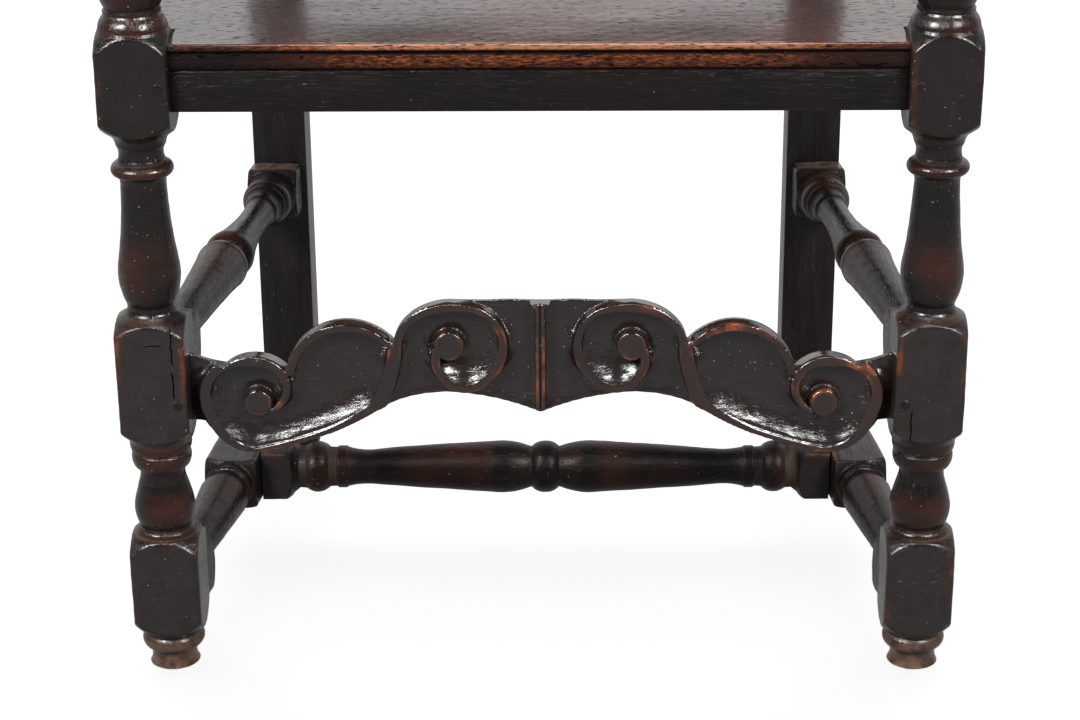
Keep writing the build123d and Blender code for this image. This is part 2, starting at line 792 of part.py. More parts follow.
carved_outline = [
    [(0.0, 1.43)],
    [(0.24, 1.43)],
    [(0.33, 1.37), (0.38, 1.23)],
    [(0.405, 1.10), (0.416, 0.96)],
    [(0.556, 1.205), (0.722, 0.63)],
    [(0.804, 0.803), (0.899, 0.677)],
    [(0.95, 0.72), (1.0, 0.80)],
    [(1.0, -0.02)],
    [(0.962, -0.02)],
    [(0.915, -0.24), (0.82, -0.394)],
    [(0.728, -0.33), (0.616, -0.165)],
    [(0.536, -0.02), (0.468, 0.134)],
    [(0.37, 0.277), (0.24, 0.33)],
    [(0.115, 0.24), (0.0, 0.08)],
]
outer_eye = (0.806, 0.228)
inner_eye = (0.2565, 0.912)
outer_eye_radius = 10.0
inner_eye_radius = 10.8
# the band runs from the outer eye over the volute, along the lower edge, up between the lobes,
# over the middle lobe and round to the inner eye
volute_line = [
    [(0.775, 0.13)],
    [(0.722, 0.36), (0.79, 0.735)],
    [(0.935, 0.49), (0.925, -0.10)],
    [(0.88, -0.285), (0.80, -0.335)],
    [(0.705, -0.25), (0.616, -0.105)],
    [(0.52, 0.06), (0.455, 0.27)],
    [(0.425, 0.60), (0.412, 0.93)],
    [(0.37, 1.245), (0.27, 1.365)],
    [(0.115, 1.16), (0.145, 0.56)],
    [(0.24, 0.42), (0.293, 0.76)],
]
lobe_line = [[(0.427, 0.92)], [(0.556, 1.15), (0.712, 0.58)]]
reed_width = 8.4
reed_flare = 14.7
# the outer lobes rise from the ground up to the bands round them, and are hollowed again
lobe_plate = [
    [(0.412, 0.93)],
    [(0.416, 0.96)],
    [(0.556, 1.205), (0.722, 0.63)],
    [(0.804, 0.803), (0.899, 0.677)],
    [(0.94, 0.35), (0.925, -0.10)],
    [(0.88, -0.285), (0.80, -0.335)],
    [(0.705, -0.25), (0.616, -0.105)],
    [(0.52, 0.06), (0.455, 0.27)],
    [(0.425, 0.60), (0.412, 0.93)],
]
hollow_centre = (0.60, 0.46)
hollow_half_length = 45.0
hollow_half_width = 25.0
hollow_slope = -22.0         # degrees


def cut_hollow(side):
    """Cut an outer lobe's hollow with a long barrel that dips below the rim."""
    clear = (hollow_half_width ** 2 - lobe_hollow ** 2) / (2 * lobe_hollow)
    x, z = carved(*hollow_centre)
    origin = Vector(side * x, front_y + carved_setback + lobe_step - clear, z)
    slope = radians(hollow_slope)
    along = Vector(cos(slope), 0, side * sin(slope))
    end = hollow_half_length
    with BuildSketch(Plane(origin=origin, x_dir=along, z_dir=along.cross(Vector(0, 1, 0)))) as barrel:
        with BuildLine():
            Polyline((end, clear), (end, 0), (-end, 0), (-end, clear))
            ThreePointArc((-end, clear), (0, clear + lobe_hollow), (end, clear))
        make_face()
    revolve(barrel.sketch, axis=Axis(origin, along), mode=Mode.SUBTRACT)


def make_carved_stretcher():
    """Board with dished lobes, raised scroll bands, eyes and a reeded bar in the middle."""
    face = Plane(origin=(0, front_y + carved_setback, 0), x_dir=(1, 0, 0), z_dir=(0, -1, 0))
    ground = face.offset(-carved_board)
    with BuildPart() as stretcher_board:
        with BuildSketch(ground):
            with BuildLine():
                draw_stretches(carved, carved_outline, join=True)
            make_face()
            mirror(about=Plane.YZ)
        extrude(amount=carved_board - relief)
        with BuildSketch(face.offset(-relief)):
            with BuildLine():
                draw_stretches(carved, lobe_plate, join=False)
            make_face()
            mirror(about=Plane.YZ)
        extrude(amount=relief - lobe_step)
        cut_hollow(1)
        cut_hollow(-1)
        with BuildSketch(face.offset(-relief)):
            with BuildLine() as scroll:
                draw_stretches(carved, volute_line, join=False)
            trace(scroll.line, line_width=band)
            with BuildLine() as lobe:
                draw_stretches(carved, lobe_line, join=False)
            trace(lobe.line, line_width=band)
            with Locations(carved(*outer_eye)):
                Circle(outer_eye_radius)
            with Locations(carved(*inner_eye)):
                Circle(inner_eye_radius)
            mirror(about=Plane.YZ)
        extrude(amount=relief)
        shoulders = Plane(origin=(post_inner_x - fit, 0, 0), z_dir=(-1, 0, 0))
        split(bisect_by=shoulders, keep=Keep.TOP)
        shoulders = Plane(origin=(-post_inner_x + fit, 0, 0), z_dir=(1, 0, 0))
        split(bisect_by=shoulders, keep=Keep.TOP)
        with BuildSketch(face.offset(-relief)):
            reed_low = carved(0, 0.2)[1]
            reed_top = carved(0, 1.40)[1]
            with Locations((0, (reed_low + reed_top) / 2)):
                Rectangle(reed_width, reed_top - reed_low)
            with Locations((0, reed_top)):
                Trapezoid(reed_flare, reed_width / 2, 60, rotation=180)
        extrude(amount=relief)
        add_tenons(both_sides(carved_stretcher_tenon))
        drill(both_sides(carved_stretcher_peg))
    return stretcher_board.part


# ---------------------------------------------------------------- arms
def make_arm(side):
    """Sawn to shape from above and from the side, with a scrolled hand grip."""
    nose_y = front_y - arm_nose + nose_radius
    nose_z = arm_height - nose_radius
    grip_low = nose_z - nose_radius
    grip_end = front_y + root
    seat_end = post_back_y + root
    rear_y = stile_face_y + stile / 2
    rear_top = arm_height + arm_rise
    run = rear_y - nose_y
    mid = (post_back_y + leg_front_y) / 2
    x_front = side * side_x(front_y - arm_nose)
    x_rear = side * side_x(rear_y)
    stile_face = Plane(
        origin=back_plane.from_local_coords(Vector(0, 0, stile + fit)), z_dir=back_plane.z_dir
    )
    with BuildPart() as arm:
        with BuildSketch(Plane.YZ.offset(-front_width / 2)):
            with BuildLine():
                Spline(
                    (nose_y, arm_height),
                    (nose_y + run * 0.38, arm_height - arm_depth * 0.22),
                    (nose_y + run * 0.72, arm_height + arm_rise * 0.22),
                    (rear_y, rear_top),
                    tangents=((1, 0), (1, 0.28)),
                )
                Line((rear_y, rear_top), (rear_y, rear_top - arm_depth))
                ThreePointArc(
                    (rear_y, rear_top - arm_depth), (mid, arm_low + arm_depth * 0.2), (seat_end, arm_low)
                )
                Line((seat_end, arm_low), (grip_end, arm_low))
                ThreePointArc(
                    (grip_end, arm_low),
                    ((grip_end + nose_y) / 2, (arm_low + grip_low) / 2 - root),
                    (nose_y, grip_low),
                )
                ThreePointArc(
                    (nose_y, grip_low),
                    (nose_y - nose_radius, nose_z),
                    (nose_y, arm_height),
                )
            make_face()
        extrude(amount=front_width)
        with BuildSketch(Plane.XY.offset(arm_low - arm_depth)):
            with BuildLine():
                Polyline(
                    (x_front + arm_width / 2, front_y - arm_nose),
                    (side * side_x(post_back_y) + arm_width / 2, post_back_y),
                    (x_rear + arm_rear_width / 2, rear_y),
                    (x_rear - arm_rear_width / 2, rear_y),
                    (side * side_x(post_back_y) - arm_width / 2, post_back_y),
                    (x_front - arm_width / 2, front_y - arm_nose),
                    close=True,
                )
            make_face()
        extrude(amount=arm_height, mode=Mode.INTERSECT)
        split(bisect_by=stile_face, keep=Keep.TOP)
        add_tenons([arm_tenon(side)])
        socket = Vector(side * post_x, post_y, arm_low - arm_depth / 2)
        depth = arm_depth / 2 + post_tenon_height + fit
        cylinder(socket, (0, 0, 1), depth, post_tenon_radius + fit, Mode.SUBTRACT)
        drill([arm_stile_peg(side), arm_post_peg(side)])
    return arm.part


# ---------------------------------------------------------------- the back
def make_back_member(low, high, grooves):
    """A rail of the back: groove for the panel along the edges named in grooves."""
    width = leg_inner_x - fit
    tongue = (rails_middle, rails_middle + panel_tongue)
    with BuildPart() as member:
        box(back_plane, (-width, low, rails_back), (width, high, rails_back + back_rail))
        for side in (1, -1):
            add_tenons([back_tenon(side, low, high)])
            drill(back_pegs(side))
        if "top" in grooves:
            near = (-front_width / 2, high - groove, tongue[0])
            far = (front_width / 2, high + groove, tongue[1])
            box(back_plane, near, far, fit, Mode.SUBTRACT)
        if "bottom" in grooves:
            near = (-front_width / 2, low - groove, tongue[0])
            far = (front_width / 2, low + groove, tongue[1])
            box(back_plane, near, far, fit, Mode.SUBTRACT)
    return member.part


def make_panel():
    """Plain riven panel: flat in front, its back feathered down to the tongues."""
    edge = groove - fit
    sight_x = leg_inner_x - fit
    sight_y = panel_height / 2 - fit
    middle = (panel_low + panel_top) / 2
    with BuildPart() as back_panel:
        low = (-sight_x - edge, middle - sight_y - edge, rails_middle)
        high = (sight_x + edge, middle + sight_y + edge, rails_middle + panel_tongue)
        box(back_plane, low, high)
        with BuildSketch(back_plane.offset(rails_middle)):
            with Locations((0, middle)):
                Rectangle(2 * sight_x, 2 * sight_y)
        with BuildSketch(back_plane.offset(rails_middle - panel + panel_tongue)):
            with Locations((0, middle)):
                Rectangle(2 * (sight_x - feather), 2 * (sight_y - feather))
        loft()
    return back_panel.part


crest_outline = [
    [(0.0, 1.0)],
    [(0.17, 0.99), (0.30, 0.80)],
    [(0.335, 0.70), (0.345, 0.58)],
    [(0.52, 0.74), (0.69, 0.36)],
    [(0.82, 0.54), (0.93, 0.40)],
    [(0.965, 0.39), (1.0, 0.42)],
    [(1.0, 0.0)],
]
crest_line = [
    [(0.79, 0.15)],
    [(0.75, 0.31), (0.83, 0.42)],
    [(0.90, 0.27), (0.80, 0.08)],
    [(0.57, 0.10), (0.40, 0.25)],
    [(0.355, 0.40), (0.335, 0.56)],
    [(0.28, 0.77), (0.17, 0.925)],
    [(0.09, 0.72), (0.115, 0.43)],
    [(0.19, 0.36), (0.235, 0.52)],
]
crest_eyes = [(0.815, 0.235), (0.195, 0.60)]
crest_eye_radius = 7.0
crest_relief = 4.0
crest_band = 5.0


def crest(x, up):
    """A place on the crest rail from its shares."""
    return (x * leg_inner_x, crest_low + fit + up * crest_height)


def make_crest():
    """Crest rail between the stiles, with scrolls like the front stretcher's."""
    back_face = back_plane.offset(rails_middle - crest_board / 2)
    ground = back_face.offset(crest_board - crest_relief)
    with BuildPart() as crest_rail:
        with BuildSketch(back_face):
            with BuildLine():
                draw_stretches(crest, crest_outline, join=False)
                Line(crest(1, 0), crest(0, 0))
                Line(crest(0, 0), crest(0, 1))
            make_face()
            mirror(about=Plane.YZ)
        extrude(amount=crest_board - crest_relief)
        with BuildSketch(ground):
            with BuildLine() as scroll:
                draw_stretches(crest, crest_line, join=False)
            trace(scroll.line, line_width=crest_band)
            with Locations([crest(*share) for share in crest_eyes]):
                Circle(crest_eye_radius)
            mirror(about=Plane.YZ)
        extrude(amount=crest_relief)
        for side in (1, -1):
            shoulder = Plane(origin=(side * (leg_inner_x - fit), 0, 0), z_dir=(-side, 0, 0))
            split(bisect_by=shoulder, keep=Keep.TOP)
        for side in (1, -1):
            add_tenons([back_tenons(side)[2]])
            drill(back_pegs(side))
    return crest_rail.part


# ---------------------------------------------------------------- the chair
sides = (("left", -1), ("right", 1))
pieces = {}
for name, side in sides:
    pieces["front_post_" + name] = make_front_post(side)
    pieces["rear_post_" + name] = make_rear_post(side)
    pieces["seat_rail_" + name] = make_side_rail(side)
    pieces["upper_side_stretcher_" + name] = make_upper_stretcher(side)
    pieces["lower_side_stretcher_" + name] = make_lower_stretcher(side)
    pieces["arm_" + name] = make_arm(side)
pieces["seat_rail_front"] = make_front_rail()
pieces["seat_rail_back"] = make_back_rail()
pieces["seat_board_front"] = make_front_board()
pieces["seat_board_back"] = make_back_board()
pieces["front_stretcher"] = make_carved_stretcher()
pieces["cross_stretcher"] = make_cross_stretcher()
pieces["back_bottom_rail"] = make_back_member(*back_members[0], ["top"])
pieces["back_top_rail"] = make_back_member(*back_members[1], ["bottom"])
pieces["back_panel"] = make_panel()
pieces["crest_rail"] = make_crest()

seat_frame_pegs = both_sides(front_rail_peg) + both_sides(back_rail_peg)
seat_frame_pegs += side_rail_pegs(1) + side_rail_pegs(-1)
pieces["seat_frame_pegs"] = make_pegs(seat_frame_pegs)
pieces["front_stretcher_pegs"] = make_pegs(both_sides(carved_stretcher_peg))
upper_pegs = stretcher_pegs(1, upper_height) + stretcher_pegs(-1, upper_height)
lower_pegs = stretcher_pegs(1, lower_height) + stretcher_pegs(-1, lower_height)
pieces["side_stretcher_pegs"] = make_pegs(upper_pegs + lower_pegs)
pieces["cross_stretcher_pegs"] = make_pegs(both_sides(cross_peg))
pieces["arm_pegs"] = make_pegs(both_sides(arm_stile_peg) + both_sides(arm_post_peg))
pieces["back_pegs"] = make_pegs(back_pegs(1) + back_pegs(-1))
pieces["seat_pins"] = make_pegs(side_pins(1) + side_pins(-1) + back_pins)

os.makedirs("parts", exist_ok=True)
for name, piece in pieces.items():
    piece.label = name
    export_step(piece, "parts/" + name + ".step")
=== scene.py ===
"""Looks of a joined oak armchair of about 1680: nearly black wax polish, worn brown arrises.

The turned members, the carved boards and the seat boards are rebuilt as fine meshes where
their CAD nodes stand. The other boards, the rails and the pegs are copies of their nodes with
softened arrises.
"""

import math

import bmesh
import bpy
import numpy as np
from mathutils import Matrix, Vector


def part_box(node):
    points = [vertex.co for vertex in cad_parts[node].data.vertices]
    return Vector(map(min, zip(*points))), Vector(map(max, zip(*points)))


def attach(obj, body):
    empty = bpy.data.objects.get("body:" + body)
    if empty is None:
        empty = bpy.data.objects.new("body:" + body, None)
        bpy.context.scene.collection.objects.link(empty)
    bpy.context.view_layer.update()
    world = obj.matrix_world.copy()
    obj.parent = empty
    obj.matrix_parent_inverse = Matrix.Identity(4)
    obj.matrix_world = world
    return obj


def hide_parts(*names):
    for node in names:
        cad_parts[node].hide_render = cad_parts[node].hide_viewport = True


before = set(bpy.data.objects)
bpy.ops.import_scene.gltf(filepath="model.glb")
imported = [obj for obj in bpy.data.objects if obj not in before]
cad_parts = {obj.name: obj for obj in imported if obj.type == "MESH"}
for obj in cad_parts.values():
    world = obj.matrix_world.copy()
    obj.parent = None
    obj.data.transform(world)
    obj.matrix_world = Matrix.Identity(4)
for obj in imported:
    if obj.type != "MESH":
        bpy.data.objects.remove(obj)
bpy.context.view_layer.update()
mm = 0.001
BOW = "bow"  # marks the point that an arc passes through
CLEAR = 0.1 * mm  # between boards and posts, as in the CAD part
RIGHTWARD = np.array([1.0, 0, 0])
UPWARD = np.array([0, 0, 1.0])
FORWARD = np.array([0, -1.0, 0])


# ---- places read from the frame
def low(node):
    return np.array(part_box(node)[0])


def high(node):
    return np.array(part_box(node)[1])


def middle_of(node):
    return (low(node) + high(node)) / 2


post_low, post_high = low("front_post_right"), high("front_post_right")
leg_low, leg_high = low("rear_post_right"), high("rear_post_right")
seat_top = high("seat_board_front")[2]
front_y = post_low[1]
post_stock = post_high[0] - post_low[0]
post_x = middle_of("front_post_right")[0]
post_y = front_y + post_stock / 2
post_back_y = front_y + post_stock
post_inner_x = post_low[0]
leg_stock = leg_high[0] - leg_low[0]
leg_x = middle_of("rear_post_right")[0]
leg_front_y = leg_low[1]
leg_y = leg_front_y + leg_stock / 2
leg_inner_x = leg_low[0]
side_slope = (post_x - leg_x) / (leg_y - post_y)
side_angle = math.atan(side_slope)


def side_x(y):
    """Where the middle line of the right side is, at a place between front and back."""
    return post_x - side_slope * (y - post_y)


# ---- meshes from grids of points
WAVES = 7  # sine waves in a ripple
SHARP_GRID = 50  # degrees: a sharper edge of a grid isn't shaded smooth


def smooth(value, start, end):
    """A smooth step from 0 at start to 1 at end."""
    share = np.clip((value - start) / (end - start), 0, 1)
    return share * share * (3 - 2 * share)


def blurred(field, reach, wrap=False):
    """Three running means along each axis; reach is in points."""
    for axis, size, closed in ((0, reach[0], False), (1, reach[1], wrap)):
        if size < 1:
            continue
        for _ in range(3):
            pad = [(0, 0), (0, 0)]
            pad[axis] = (size, size)
            wide = np.pad(field, pad, mode="wrap" if closed else "edge")
            total = np.insert(np.cumsum(wide, axis), 0, 0, axis)
            span = 2 * size + 1
            upper = np.split(total, [span], axis)[1]
            lower = np.split(total, [field.shape[axis]], axis)[0]
            field = (upper - lower) / span
    return field


def ripple(points, scale, seed):
    """Smooth made-up unevenness, mostly between -1 and 1; scale is about its wavelength."""
    rng = np.random.default_rng(seed)
    total = np.zeros(points.shape[:-1])
    for _ in range(WAVES):
        way = rng.normal(size=3)
        way *= 2 * math.pi / (scale * rng.uniform(0.7, 1.6) * np.linalg.norm(way))
        total += np.sin(points @ way + rng.uniform(0, 6.28))
    return total / 4


def uneven(points, waves, seed):
    """Ripples added up, in mm; each wave is its height and its scale in mm."""
    return sum(
        height * ripple(points, scale * mm, seed + i) for i, (height, scale) in enumerate(waves)
    )


def distances(points):
    """How far along a line each of its points is."""
    return np.concatenate([[0], np.cumsum(np.linalg.norm(np.diff(points, axis=0), axis=1))])


def evenly(points, count):
    """The same line in the plane with evenly spaced points."""
    run = distances(points)
    even = np.linspace(0, run[-1], count)
    return np.stack([np.interp(even, run, points[:, i]) for i in (0, 1)], axis=1)


def shown(name, data):
    obj = bpy.data.objects.new(name, data)
    bpy.context.scene.collection.objects.link(obj)
    return obj


def shaded(mesh, sharp):
    """Smooth shading, with edges over so many degrees kept sharp."""
    mesh.polygons.foreach_set("use_smooth", [True] * len(mesh.polygons))
    mesh.set_sharp_from_angle(angle=math.radians(sharp))


def outward(mesh):
    """Turns a closed mesh's faces to look outwards."""
    work = bmesh.new()
    work.from_mesh(mesh)
    bmesh.ops.recalc_face_normals(work, faces=work.faces)
    work.to_mesh(mesh)
    work.free()


def grid_object(name, grid, fields):
    """A closed tube from rings of points, with capped ends and named vertex fields."""
    rings, around = grid.shape[:2]
    index = np.arange(rings * around).reshape(rings, around)
    after = np.roll(index, -1, axis=1)
    quads = np.stack([index[:-1], after[:-1], after[1:], index[1:]], axis=-1).reshape(-1, 4)
    mesh = bpy.data.meshes.new(name)
    mesh.vertices.add(rings * around)
    mesh.vertices.foreach_set("co", grid.reshape(-1).astype(np.float32))
    corners = np.concatenate([quads.ravel(), index[0][::-1], index[-1]])
    starts = np.concatenate([np.arange(len(quads)) * 4, len(quads) * 4 + np.array([0, around])])
    mesh.loops.add(len(corners))
    mesh.loops.foreach_set("vertex_index", corners.astype(np.int32))
    mesh.polygons.add(len(starts))
    mesh.polygons.foreach_set("loop_start", starts.astype(np.int32))
    mesh.update(calc_edges=True)
    mesh.validate()
    for key, values in fields.items():
        layer = mesh.attributes.new(key, "FLOAT", "POINT")
        values = np.broadcast_to(values, (rings, around))
        layer.data.foreach_set("value", values.reshape(-1).astype(np.float32))
    outward(mesh)
    shaded(mesh, SHARP_GRID)
    return shown(name, mesh)


def stands_for(obj, node, material):
    """The piece takes the node's place and a material."""
    obj.data.materials.clear()
    obj.data.materials.append(material)
    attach(obj, "root")
    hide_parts(node)
    return obj


# ---- turning
# A recipe gives (share of the length, share of half the stock); BOW marks an arc's middle.
FOOT = [
    (0.0, 0.745), (0.27, 0.665, BOW), (0.436, 0.72),
    (0.64, 0.915, BOW), (0.84, 0.82), (0.92, 0.9), (1.0, 1.0),
]
LOWER = [
    (0.0, 1.0), (0.015, 0.87), (0.05, 0.85, BOW), (0.077, 0.73),
    (0.215, 0.868, BOW), (0.354, 0.84), (0.45, 0.762, BOW), (0.55, 0.675),
    (0.62, 0.648, BOW), (0.685, 0.68), (0.69, 0.79), (0.75, 0.86, BOW), (0.825, 0.845),
    (0.84, 0.795), (0.86, 0.875), (0.9, 0.9, BOW), (0.94, 0.9), (1.0, 1.0),
]
UPPER = [
    (0.0, 1.0), (0.021, 0.81), (0.045, 0.7, BOW), (0.075, 0.69),
    (0.165, 0.848, BOW), (0.293, 0.853), (0.467, 0.728, BOW), (0.72, 0.634),
    (0.75, 0.65), (0.762, 0.7), (0.797, 0.872, BOW), (0.83, 0.7), (0.834, 0.665),
    (0.845, 0.665), (0.875, 0.625, BOW), (0.925, 0.7), (0.957, 0.75, BOW), (0.98, 0.85),
    (1.0, 1.0),
]
SUPPORT = [
    (0.0, 1.0), (0.012, 0.965), (0.038, 0.91, BOW), (0.058, 0.8), (0.066, 0.77), (0.069, 0.8),
    (0.077, 0.8), (0.081, 0.745), (0.087, 0.755),
    (0.13, 0.885, BOW), (0.2, 0.86), (0.37, 0.68, BOW), (0.56, 0.6),
    (0.575, 0.66), (0.58, 0.74), (0.615, 0.87, BOW), (0.65, 0.74), (0.655, 0.66),
    (0.7, 0.585, BOW), (0.76, 0.68), (0.83, 0.8, BOW), (0.9, 0.66),
    (0.91, 0.76), (0.955, 0.88, BOW), (1.0, 0.86),
]
UPPER_FRONT = [
    (0.0, 1.0), (0.03, 0.8), (0.06, 0.7, BOW), (0.11, 0.66),
    (0.5, 0.765, BOW), (0.89, 0.945), (0.955, 0.9, BOW), (0.985, 0.72), (1.0, 0.62),
]
UPPER_REAR = [
    (0.0, 0.62), (0.03, 0.84, BOW), (0.08, 0.935), (0.33, 0.66, BOW), (0.72, 0.575),
    (0.745, 0.66), (0.8, 0.7, BOW), (0.83, 0.82), (0.842, 0.84),
    (0.89, 0.955, BOW), (0.94, 0.84), (0.96, 0.84), (1.0, 1.0),
]
LOWER_FRONT = [
    (0.0, 1.0), (0.03, 0.8), (0.07, 0.7, BOW), (0.13, 0.66),
    (0.5, 0.8, BOW), (0.83, 0.935), (0.845, 0.8), (0.89, 0.72, BOW), (0.94, 0.82),
    (0.95, 0.91), (0.985, 0.91), (1.0, 1.0),
]
CROSS = [
    (0.0, 0.995), (0.034, 0.935, BOW), (0.054, 0.79), (0.058, 0.79),
    (0.12, 0.965, BOW), (0.21, 0.99), (0.44, 0.86, BOW), (0.668, 0.69),
    (0.75, 0.7, BOW), (0.785, 0.77), (0.79, 0.82), (0.822, 0.82), (0.83, 0.76), (0.857, 0.78),
    (0.904, 0.995, BOW), (0.95, 0.84), (0.976, 0.81), (1.0, 1.0),
]
ARC_POINTS = 14
OUTSIDE = 1.0 * mm  # a block's outline passes its corners by this much
SHOULDER = 0.62  # height of a shoulder's arc at its middle, as a share
RING_STEP = 1.1 * mm  # between the rings of a turned member
RING_LEAST = 0.12 * mm  # rings nearer than this are joined
NUDGE = 1e-9  # keeps the points of an upright step in order
CROWDING = 1.4  # over 1 brings a ring's points closer to the arrises
ARRIS_POWER = (16, 5)  # sharpness of a block's arrises, and how far it varies
ARRIS_SCALE = 45 * mm
NECK_EASE = 0.35 * mm  # rounding where round and square meet
TURNED_WAVES = [(0.22, 38), (0.1, 9)]
WORN_ARRIS = 0.42 * mm  # an edge standing out this far counts as worn by 1
DEEP_QUIRK = 0.9 * mm  # a groove sunk this far holds dust by 1


def laid(recipe, start, end, radius):
    return [(start + n[0] * (end - start), radius * n[1]) + n[2:] for n in recipe]


def flipped(recipe):
    """A recipe from its other end."""
    return [(1 - n[0],) + n[1:] for n in reversed(recipe)]


def joined(*stretches):
    """One outline from stretches that each start where the one before ends."""
    outline = list(stretches[0])
    for stretch in stretches[1:]:
        outline += stretch[1:]
    return outline


def squared(start, end, rise_before, rise_after, stock):
    """A square block between its corners, with arched shoulders of a given rise."""
    half = stock / 2
    clear = half * math.sqrt(2) + OUTSIDE
    shoulder = half + SHOULDER * (clear - half)
    outline = []
    if rise_before:
        outline += [(start - rise_before, half), (start - rise_before / 2, shoulder, BOW)]
    outline += [(start, clear), (end, clear)]
    if rise_after:
        outline += [(end + rise_after / 2, shoulder, BOW), (end + rise_after, half)]
    return outline


def through(a, b, c, count=ARC_POINTS):
    """Points of the arc from a to c that passes through b."""
    a, b, c = (np.array(p, float) for p in (a, b, c))
    m = np.array([b - a, c - b])
    k = np.array([(b @ b - a @ a) / 2, (c @ c - b @ b) / 2])
    if abs(np.linalg.det(m)) < 1e-12:
        return [a + (c - a) * t for t in np.linspace(0, 1, count)]
    centre = np.linalg.solve(m, k)
    angles = [math.atan2(*(p - centre)[::-1]) for p in (a, b, c)]
    first = (angles[1] - angles[0] + math.pi) % (2 * math.pi) - math.pi
    second = (angles[2] - angles[1] + math.pi) % (2 * math.pi) - math.pi
    radius = np.linalg.norm(a - centre)
    turn = np.linspace(angles[0], angles[0] + first + second, count)
    return [centre + radius * np.array([math.cos(t), math.sin(t)]) for t in turn]


def sampled(outline):
    """The outline as dense points, with its arcs worked out."""
    points = []
    i = 0
    while i < len(outline) - 1:
        if len(outline[i + 1]) == 3:
            points += through(outline[i][:2], outline[i + 1][:2], outline[i + 2][:2])
            i += 2
        else:
            points += [np.array(outline[i][:2]), np.array(outline[i + 1][:2])]
            i += 1
    return np.array(points)


def soft_min(a, b, soft):
    """The lesser of two, with the corner between them rounded."""
    return -soft * np.logaddexp(-a / soft, -b / soft)


def crowded_angles(around):
    """Angles round a member, closer together at its four arrises."""
    quarter = np.linspace(-1, 1, around // 4, endpoint=False)
    spread = np.sign(quarter) * np.abs(quarter) ** CROWDING * math.pi / 4
    return np.concatenate([math.pi / 4 + q * math.pi / 2 + spread for q in range(4)])


def turned_member(node, outline, stock, origin, along, side, material, around=80):
    """Turn square stock: round where the outline is narrow, square with worn arrises elsewhere."""
    name = "turned_" + node
    seed = sum(map(ord, name))
    path = sampled(outline)
    places = np.arange(path[0, 0], path[-1, 0], RING_STEP)
    places = np.unique(np.concatenate([places, path[:, 0]]))
    places = places[np.concatenate([[True], np.diff(places) > RING_LEAST])]
    radius = np.interp(places, path[:, 0] + np.arange(len(path)) * NUDGE, path[:, 1])
    angles = crowded_angles(around)
    varied = ripple(places[:, None] * RIGHTWARD, ARRIS_SCALE, seed)[:, None]
    power = ARRIS_POWER[0] + ARRIS_POWER[1] * varied
    cos, sin = np.abs(np.cos(angles))[None], np.abs(np.sin(angles))[None]
    square = stock / 2 * (cos ** power + sin ** power) ** (-1 / power)
    reach = soft_min(radius[:, None], square, NECK_EASE)
    across = np.cross(along, side)
    unit = np.cos(angles)[:, None] * side + np.sin(angles)[:, None] * across
    middle = origin + places[:, None, None] * along
    reach = reach + uneven(middle + reach[..., None] * unit, TURNED_WAVES, seed + 1) * mm
    edge = reach - blurred(reach, (2, 2), wrap=True)
    ring = reach.mean(axis=1, keepdims=True)
    quirk = blurred(ring, (3, 0)) - ring
    share = (radius / (stock / 2))[:, None]
    fields = {
        "wear": edge / WORN_ARRIS,
        "dust": np.clip(quirk / DEEP_QUIRK, 0, 2),
        "top": smooth(share, 0.7, 0.86) * smooth(share, 1.02, 0.96) * 0.5,
        # painted floor reflection: marks the square blocks' faces to be painted lighter
        "painted_floor_sheen": smooth(share, 1.0, 1.15) * 0.75,
    }
    return stands_for(grid_object(name, middle + reach[..., None] * unit, fields), node, material)


# ---- sizes of the turned members
# A block is given by its two ends, and an end block by where it and then its shoulder end.
FOOT_BLOCK = (46.0 * mm, 90.5 * mm)
MID_BLOCK = (198.5 * mm, 262.0 * mm)
TOP_BLOCK = (426.5 * mm, 465.0 * mm)
FOOT_ARCH, MID_ARCH, TOP_ARCH = 16.0 * mm, 13.4 * mm, (13.0 * mm, 18.4 * mm)
END_BLOCK = (16.0 * mm, 23.5 * mm)
REAR_BLOCK = (14.5 * mm, 24.0 * mm)
MIDDLE_BLOCK = (29.0 * mm, 36.0 * mm)
CROSS_BLOCK = (15.0 * mm, 23.0 * mm)
STANDOFF = 0.4 * mm  # from a side stretcher's end to the face that it meets
SUNK = 1.5 * mm  # of the cross stretcher inside the blocks that it meets
STRETCHER = high("cross_stretcher")[2] - low("cross_stretcher")[2]
UPPER_Z = middle_of("upper_side_stretcher_left")[2]
LOWER_Z = middle_of("cross_stretcher")[2]
CROSS_Y = middle_of("cross_stretcher")[1]
ARM_LOW = 678.0 * mm
SIDE_LENGTH = (leg_front_y - post_back_y) / math.cos(side_angle)
HAND = {-1: "left", 1: "right"}


def front_post(side, material):
    half = post_stock / 2
    outline = joined(
        laid(FOOT, 0, FOOT_BLOCK[0] - FOOT_ARCH, half),
        squared(*FOOT_BLOCK, FOOT_ARCH, FOOT_ARCH, post_stock),
        laid(LOWER, FOOT_BLOCK[1] + FOOT_ARCH, MID_BLOCK[0] - MID_ARCH, half),
        squared(*MID_BLOCK, MID_ARCH, MID_ARCH, post_stock),
        laid(UPPER, MID_BLOCK[1] + MID_ARCH, TOP_BLOCK[0] - TOP_ARCH[0], half),
        squared(*TOP_BLOCK, *TOP_ARCH, post_stock),
        laid(SUPPORT, TOP_BLOCK[1] + TOP_ARCH[1], ARM_LOW - CLEAR, half),
    )
    origin = np.array([side * post_x, post_y, 0])
    node = "front_post_" + HAND[side]
    turned_member(node, outline, post_stock, origin, UPWARD, RIGHTWARD, material, around=96)


